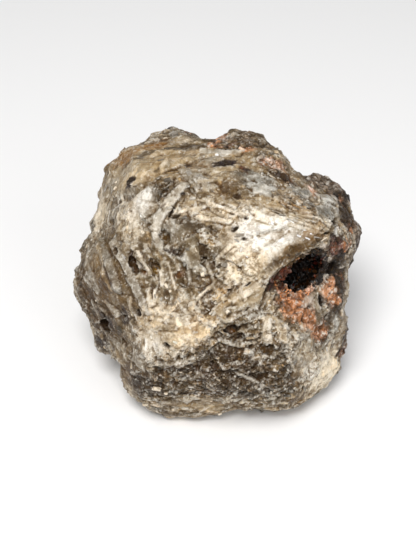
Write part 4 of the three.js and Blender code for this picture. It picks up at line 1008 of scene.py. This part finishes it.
def make_rim_crystals(count, points, normals, middle, rim):
    """Small crystals that ring the vug's mouth, each side its own colour."""
    rng = np.random.default_rng(14)
    chosen = rng.choice(np.flatnonzero((rim > 0.5) & (normals @ VUG_AXIS > 0.2)), count, replace=False)
    places, out = points[chosen], normals[chosen]
    side = np.degrees(np.arctan2(places[:, 1] - middle[1], places[:, 0] - middle[0])) % 360
    side = (side + rng.normal(0, 8, count)) % 360
    row = np.searchsorted([start for start, *_ in RIM_SIDES], side, side="right") - 1
    colours = np.array([COLOUR[RIM_SIDES[i][1]] for i in row]) * np.exp(rng.normal(-0.4, 0.5, (count, 1)))
    reach = np.array([[RIM_SIDES[i][2]] for i in row])
    inward = flattened(middle - places, out)
    along = unit_rows(inward + rng.normal(0, 0.6, inward.shape))
    sizes = rng.uniform(0.4, 1.05, (count, 1)) * (1.3, 0.9, 0.8)
    places = places + inward * (reach + rng.uniform(-0.7, 0.7, (count, 1)))
    grit = np.full(count, 0.6)
    return grow("vug_rim_crystals", places, along, out, sizes, colours, grit, jitter=0.25, seed=15)


# ---- Materials ----

def node(tree, kind, inputs=(), **settings):
    """A new shader node; an input is either another node's output or a value to set on its socket."""
    made = tree.nodes.new(kind)
    for key, value in settings.items():
        setattr(made, key, value)
    for key, value in dict(inputs).items():
        if isinstance(value, bpy.types.NodeSocket):
            tree.links.new(value, made.inputs[key])
        else:
            made.inputs[key].default_value = value
    return made


def mapped(value, low, high, to_low, to_high):
    return node(value.id_data, "ShaderNodeMapRange", {"Value": value, "From Min": low, "From Max": high,
                                                      "To Min": to_low, "To Max": to_high}).outputs[0]


def math_of(operation, first, second):
    return node(first.id_data, "ShaderNodeMath", {0: first, 1: second}, operation=operation).outputs[0]


def combined(operation, first, second):
    """Two vectors, or a vector and a number, put together."""
    second_key = "Scale" if operation == "SCALE" else 1
    return node(first.id_data, "ShaderNodeVectorMath", {0: first, second_key: second},
                operation=operation).outputs[0]


def mixed(factor, first, second):
    return node(factor.id_data, "ShaderNodeMix", {"Factor": factor, "A": first, "B": second},
                data_type="VECTOR").outputs["Result"]


def noise_of(vector, size, detail):
    return node(vector.id_data, "ShaderNodeTexNoise", {"Vector": vector, "Scale": 1 / size, "Detail": detail,
                                                       "Roughness": 0.75}).outputs["Fac"]


def cells_of(vector, size):
    """A colour for each grain of about this size."""
    cells = node(vector.id_data, "ShaderNodeTexVoronoi", {"Vector": vector, "Scale": 1 / size})
    return cells.outputs["Color"]


def stone_material(name, roughness, facet, grain, contrast, subsurface=0.0):
    """Painted mineral: frosted in some patches, clear and brown in others, in glinting grains, with white
    flecks that are partly painted glints.

    `facet` is how far the grains lean, `grain` their size in millimetres and `contrast` how strongly
    frost and brown show.
    """
    made = bpy.data.materials.new(name)
    made.use_nodes = True
    tree = made.node_tree
    shader = tree.nodes["Principled BSDF"]
    colour = node(tree, "ShaderNodeAttribute", attribute_name="paint").outputs["Color"]
    lay = node(tree, "ShaderNodeAttribute", attribute_name="lay").outputs["Vector"]
    grit = node(tree, "ShaderNodeAttribute", attribute_name="grit").outputs["Fac"]
    place = combined("SCALE", node(tree, "ShaderNodeTexCoord").outputs["Object"], 1000.0)
    grains, lumps = cells_of(place, grain), cells_of(place, grain / 0.4)
    grain_tone, glint, gloss = node(tree, "ShaderNodeSeparateColor", {"Color": grains}).outputs
    lump_tone = node(tree, "ShaderNodeSeparateColor", {"Color": lumps}).outputs["Red"]

    # How clear or frosted each place is: clouds and streaks, broken up by the grains.
    mottle = noise_of(place, 1.9, 6.0)
    streak = noise_of(combined("MULTIPLY", lay, (0.3, 2.0, 2.0)), 1.0, 4.0)
    cloud = math_of("ADD", mapped(mottle, 0.3, 0.7, -1.0, 1.0), mapped(streak, 0.3, 0.7, -0.22, 0.22))
    cloud = math_of("ADD", cloud, mapped(noise_of(place, 5.0, 2.0), 0.3, 0.7, -0.4, 0.3))
    cells = math_of("ADD", mapped(grain_tone, 0, 1, -0.65, 0.6), mapped(lump_tone, 0, 1, -0.6, 0.6))
    gritty = mapped(grit, 0, 1, 0.3, 1.0)
    level = math_of("ADD", cloud, math_of("MULTIPLY", cells, gritty))
    lively = mapped(grit, 0, 1, contrast * 0.4, contrast)
    paler = math_of("MULTIPLY", mapped(level, 0.45, 0.9, 0.0, 0.85), lively)
    darker = math_of("MULTIPLY", mapped(level, 0.0, -0.5, 0.0, 1.0), lively)
    browned = combined("ADD", combined("MULTIPLY", colour, SEEN_THROUGH), CLEAR_BROWN)
    tinted = mixed(darker, colour, browned)
    # White flecks on some grains, partly painted glints.
    flecks_and_glints = math_of("MULTIPLY", math_of("POWER", glint, 4.0), mapped(mottle, 0.46, 0.56, 0.0, 1.0))
    flecks_and_glints = math_of("MULTIPLY", flecks_and_glints, mapped(grit, 0, 1, 0.5, 1.0))
    luminance = node(tree, "ShaderNodeRGBToBW", {"Color": colour}).outputs[0]
    frost = math_of("MULTIPLY", math_of("MAXIMUM", paler, flecks_and_glints),
                    mapped(luminance, 0.01, 0.2, 0.06, 1.0))
    tree.links.new(mixed(frost, tinted, FROST_AND_GLINTS), shader.inputs["Base Color"])

    # Each grain leans its own way and has its own gloss.
    normal = node(tree, "ShaderNodeNewGeometry").outputs["Normal"]
    middle = (0.5, 0.5, 0.5)
    lean = combined("ADD", combined("SUBTRACT", grains, middle), combined("SUBTRACT", lumps, middle))
    lean = combined("SCALE", lean, mapped(grit, 0, 1, facet * 0.3, facet))
    unit = node(tree, "ShaderNodeVectorMath", {0: combined("ADD", normal, lean)},
                operation="NORMALIZE").outputs[0]
    relief = math_of("MULTIPLY", cloud, gritty)
    bump = node(tree, "ShaderNodeBump", {"Strength": 0.7, "Distance": 0.0003, "Height": relief,
                                         "Normal": unit})
    tree.links.new(bump.outputs["Normal"], shader.inputs["Normal"])
    tree.links.new(mapped(gloss, 0.0, 0.6, roughness * 0.4, roughness), shader.inputs["Roughness"])
    shader.inputs["Specular IOR Level"].default_value = 0.3
    shader.inputs["Subsurface Weight"].default_value = subsurface
    shader.inputs["Subsurface Radius"].default_value = (1.0, 0.8, 0.6)
    shader.inputs["Subsurface Scale"].default_value = 0.001
    return made


# ---- The pieces ----

rock = make_rock()
chips = make_chips("crystal_blades", BLADES_TRIED, scale=0.8, seed=101)
grains = make_chips("crystal_grains", GRAINS_TRIED, scale=0.4, seed=202)
crust, crust_points, crust_normals, vug_middle, crust_inside, crust_rim = make_crust()
druse_points = make_druse_points(DRUSE_CRYSTALS, crust_points, crust_normals, crust_inside)
rim_crystals = make_rim_crystals(DRUSE_CRYSTALS, crust_points, crust_normals, vug_middle, crust_rim)

rock_material = stone_material("broken_celestite", roughness=0.5, facet=0.8, grain=0.6, contrast=1.0,
                               subsurface=0.12)
crystal_material = stone_material("celestite_blade", roughness=0.4, facet=0.5, grain=0.8, contrast=0.6)
druse_material = stone_material("dark_druse", roughness=0.2, facet=0.3, grain=0.6, contrast=0.2)

for piece, material, slot in (
        (rock, rock_material, "celestite"), (chips, crystal_material, "celestite"),
        (grains, crystal_material, "celestite"), (rim_crystals, crystal_material, "druse"),
        (crust, druse_material, "druse"), (druse_points, druse_material, "druse")):
    piece.data.materials.append(material)
    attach(piece, "root")
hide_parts("celestite_mass")
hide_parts("vug_druse")

# ---- Stage, in metres ----

FLOOR_HALF = 3.0
LIGHT_AIM = Vector((0, 0, 0.035))
SKY_STRENGTH = 0.42
# [name, direction in the row's frame, distance, size, watts, colour].
LIGHTS = [["key", (-0.15, -0.55, 1.0), 0.8, 0.35, 5.8, (1.0, 0.992, 0.985)],
          ["fill", (0.9, -1.0, 0.7), 1.0, 0.8, 2.0, (0.97, 0.98, 1.0)]]

scene = bpy.context.scene
scene.view_settings.view_transform = "Standard"

floor_mesh = bpy.data.meshes.new("floor")
floor_corners = [(x * FLOOR_HALF, y * FLOOR_HALF, 0) for x, y in ((-1, -1), (1, -1), (1, 1), (-1, 1))]
floor_mesh.from_pydata(floor_corners, [], [(0, 1, 2, 3)])
floor = add_object("floor", floor_mesh)
floor_material = bpy.data.materials.new("pale_floor")
floor_material.use_nodes = True
floor_shader = floor_material.node_tree.nodes["Principled BSDF"]
floor_shader.inputs["Base Color"].default_value = (0.9, 0.9, 0.9, 1)
floor_shader.inputs["Roughness"].default_value = 0.9
floor_shader.inputs["Specular IOR Level"].default_value = 0.1
floor.data.materials.append(floor_material)

scene.world = bpy.data.worlds.new("studio")
scene.world.use_nodes = True
sky = scene.world.node_tree.nodes["Background"]
sky.inputs["Color"].default_value = (1.0, 1.0, 1.0, 1)
sky.inputs["Strength"].default_value = SKY_STRENGTH

for name, toward, distance, size, watts, colour in LIGHTS:
    light = bpy.data.lights.new(name, "AREA")
    light.shape = "DISK"
    light.size = size
    light.energy = watts
    light.color = colour
    lamp = add_object(name, light)
    direction = Vector(toward).normalized()
    lamp.location = LIGHT_AIM + direction * distance
    lamp.rotation_euler = direction.to_track_quat("Z", "Y").to_euler()

camera = add_object("camera", bpy.data.cameras.new("camera"))
camera.data.lens = LENS
camera.data.sensor_width = SENSOR
camera.data.clip_start = 0.01
camera.location = to_row(EYE) / 1000
camera.rotation_euler = Vector(FACE[2]).to_track_quat("Z", "Y").to_euler()
scene.camera = camera
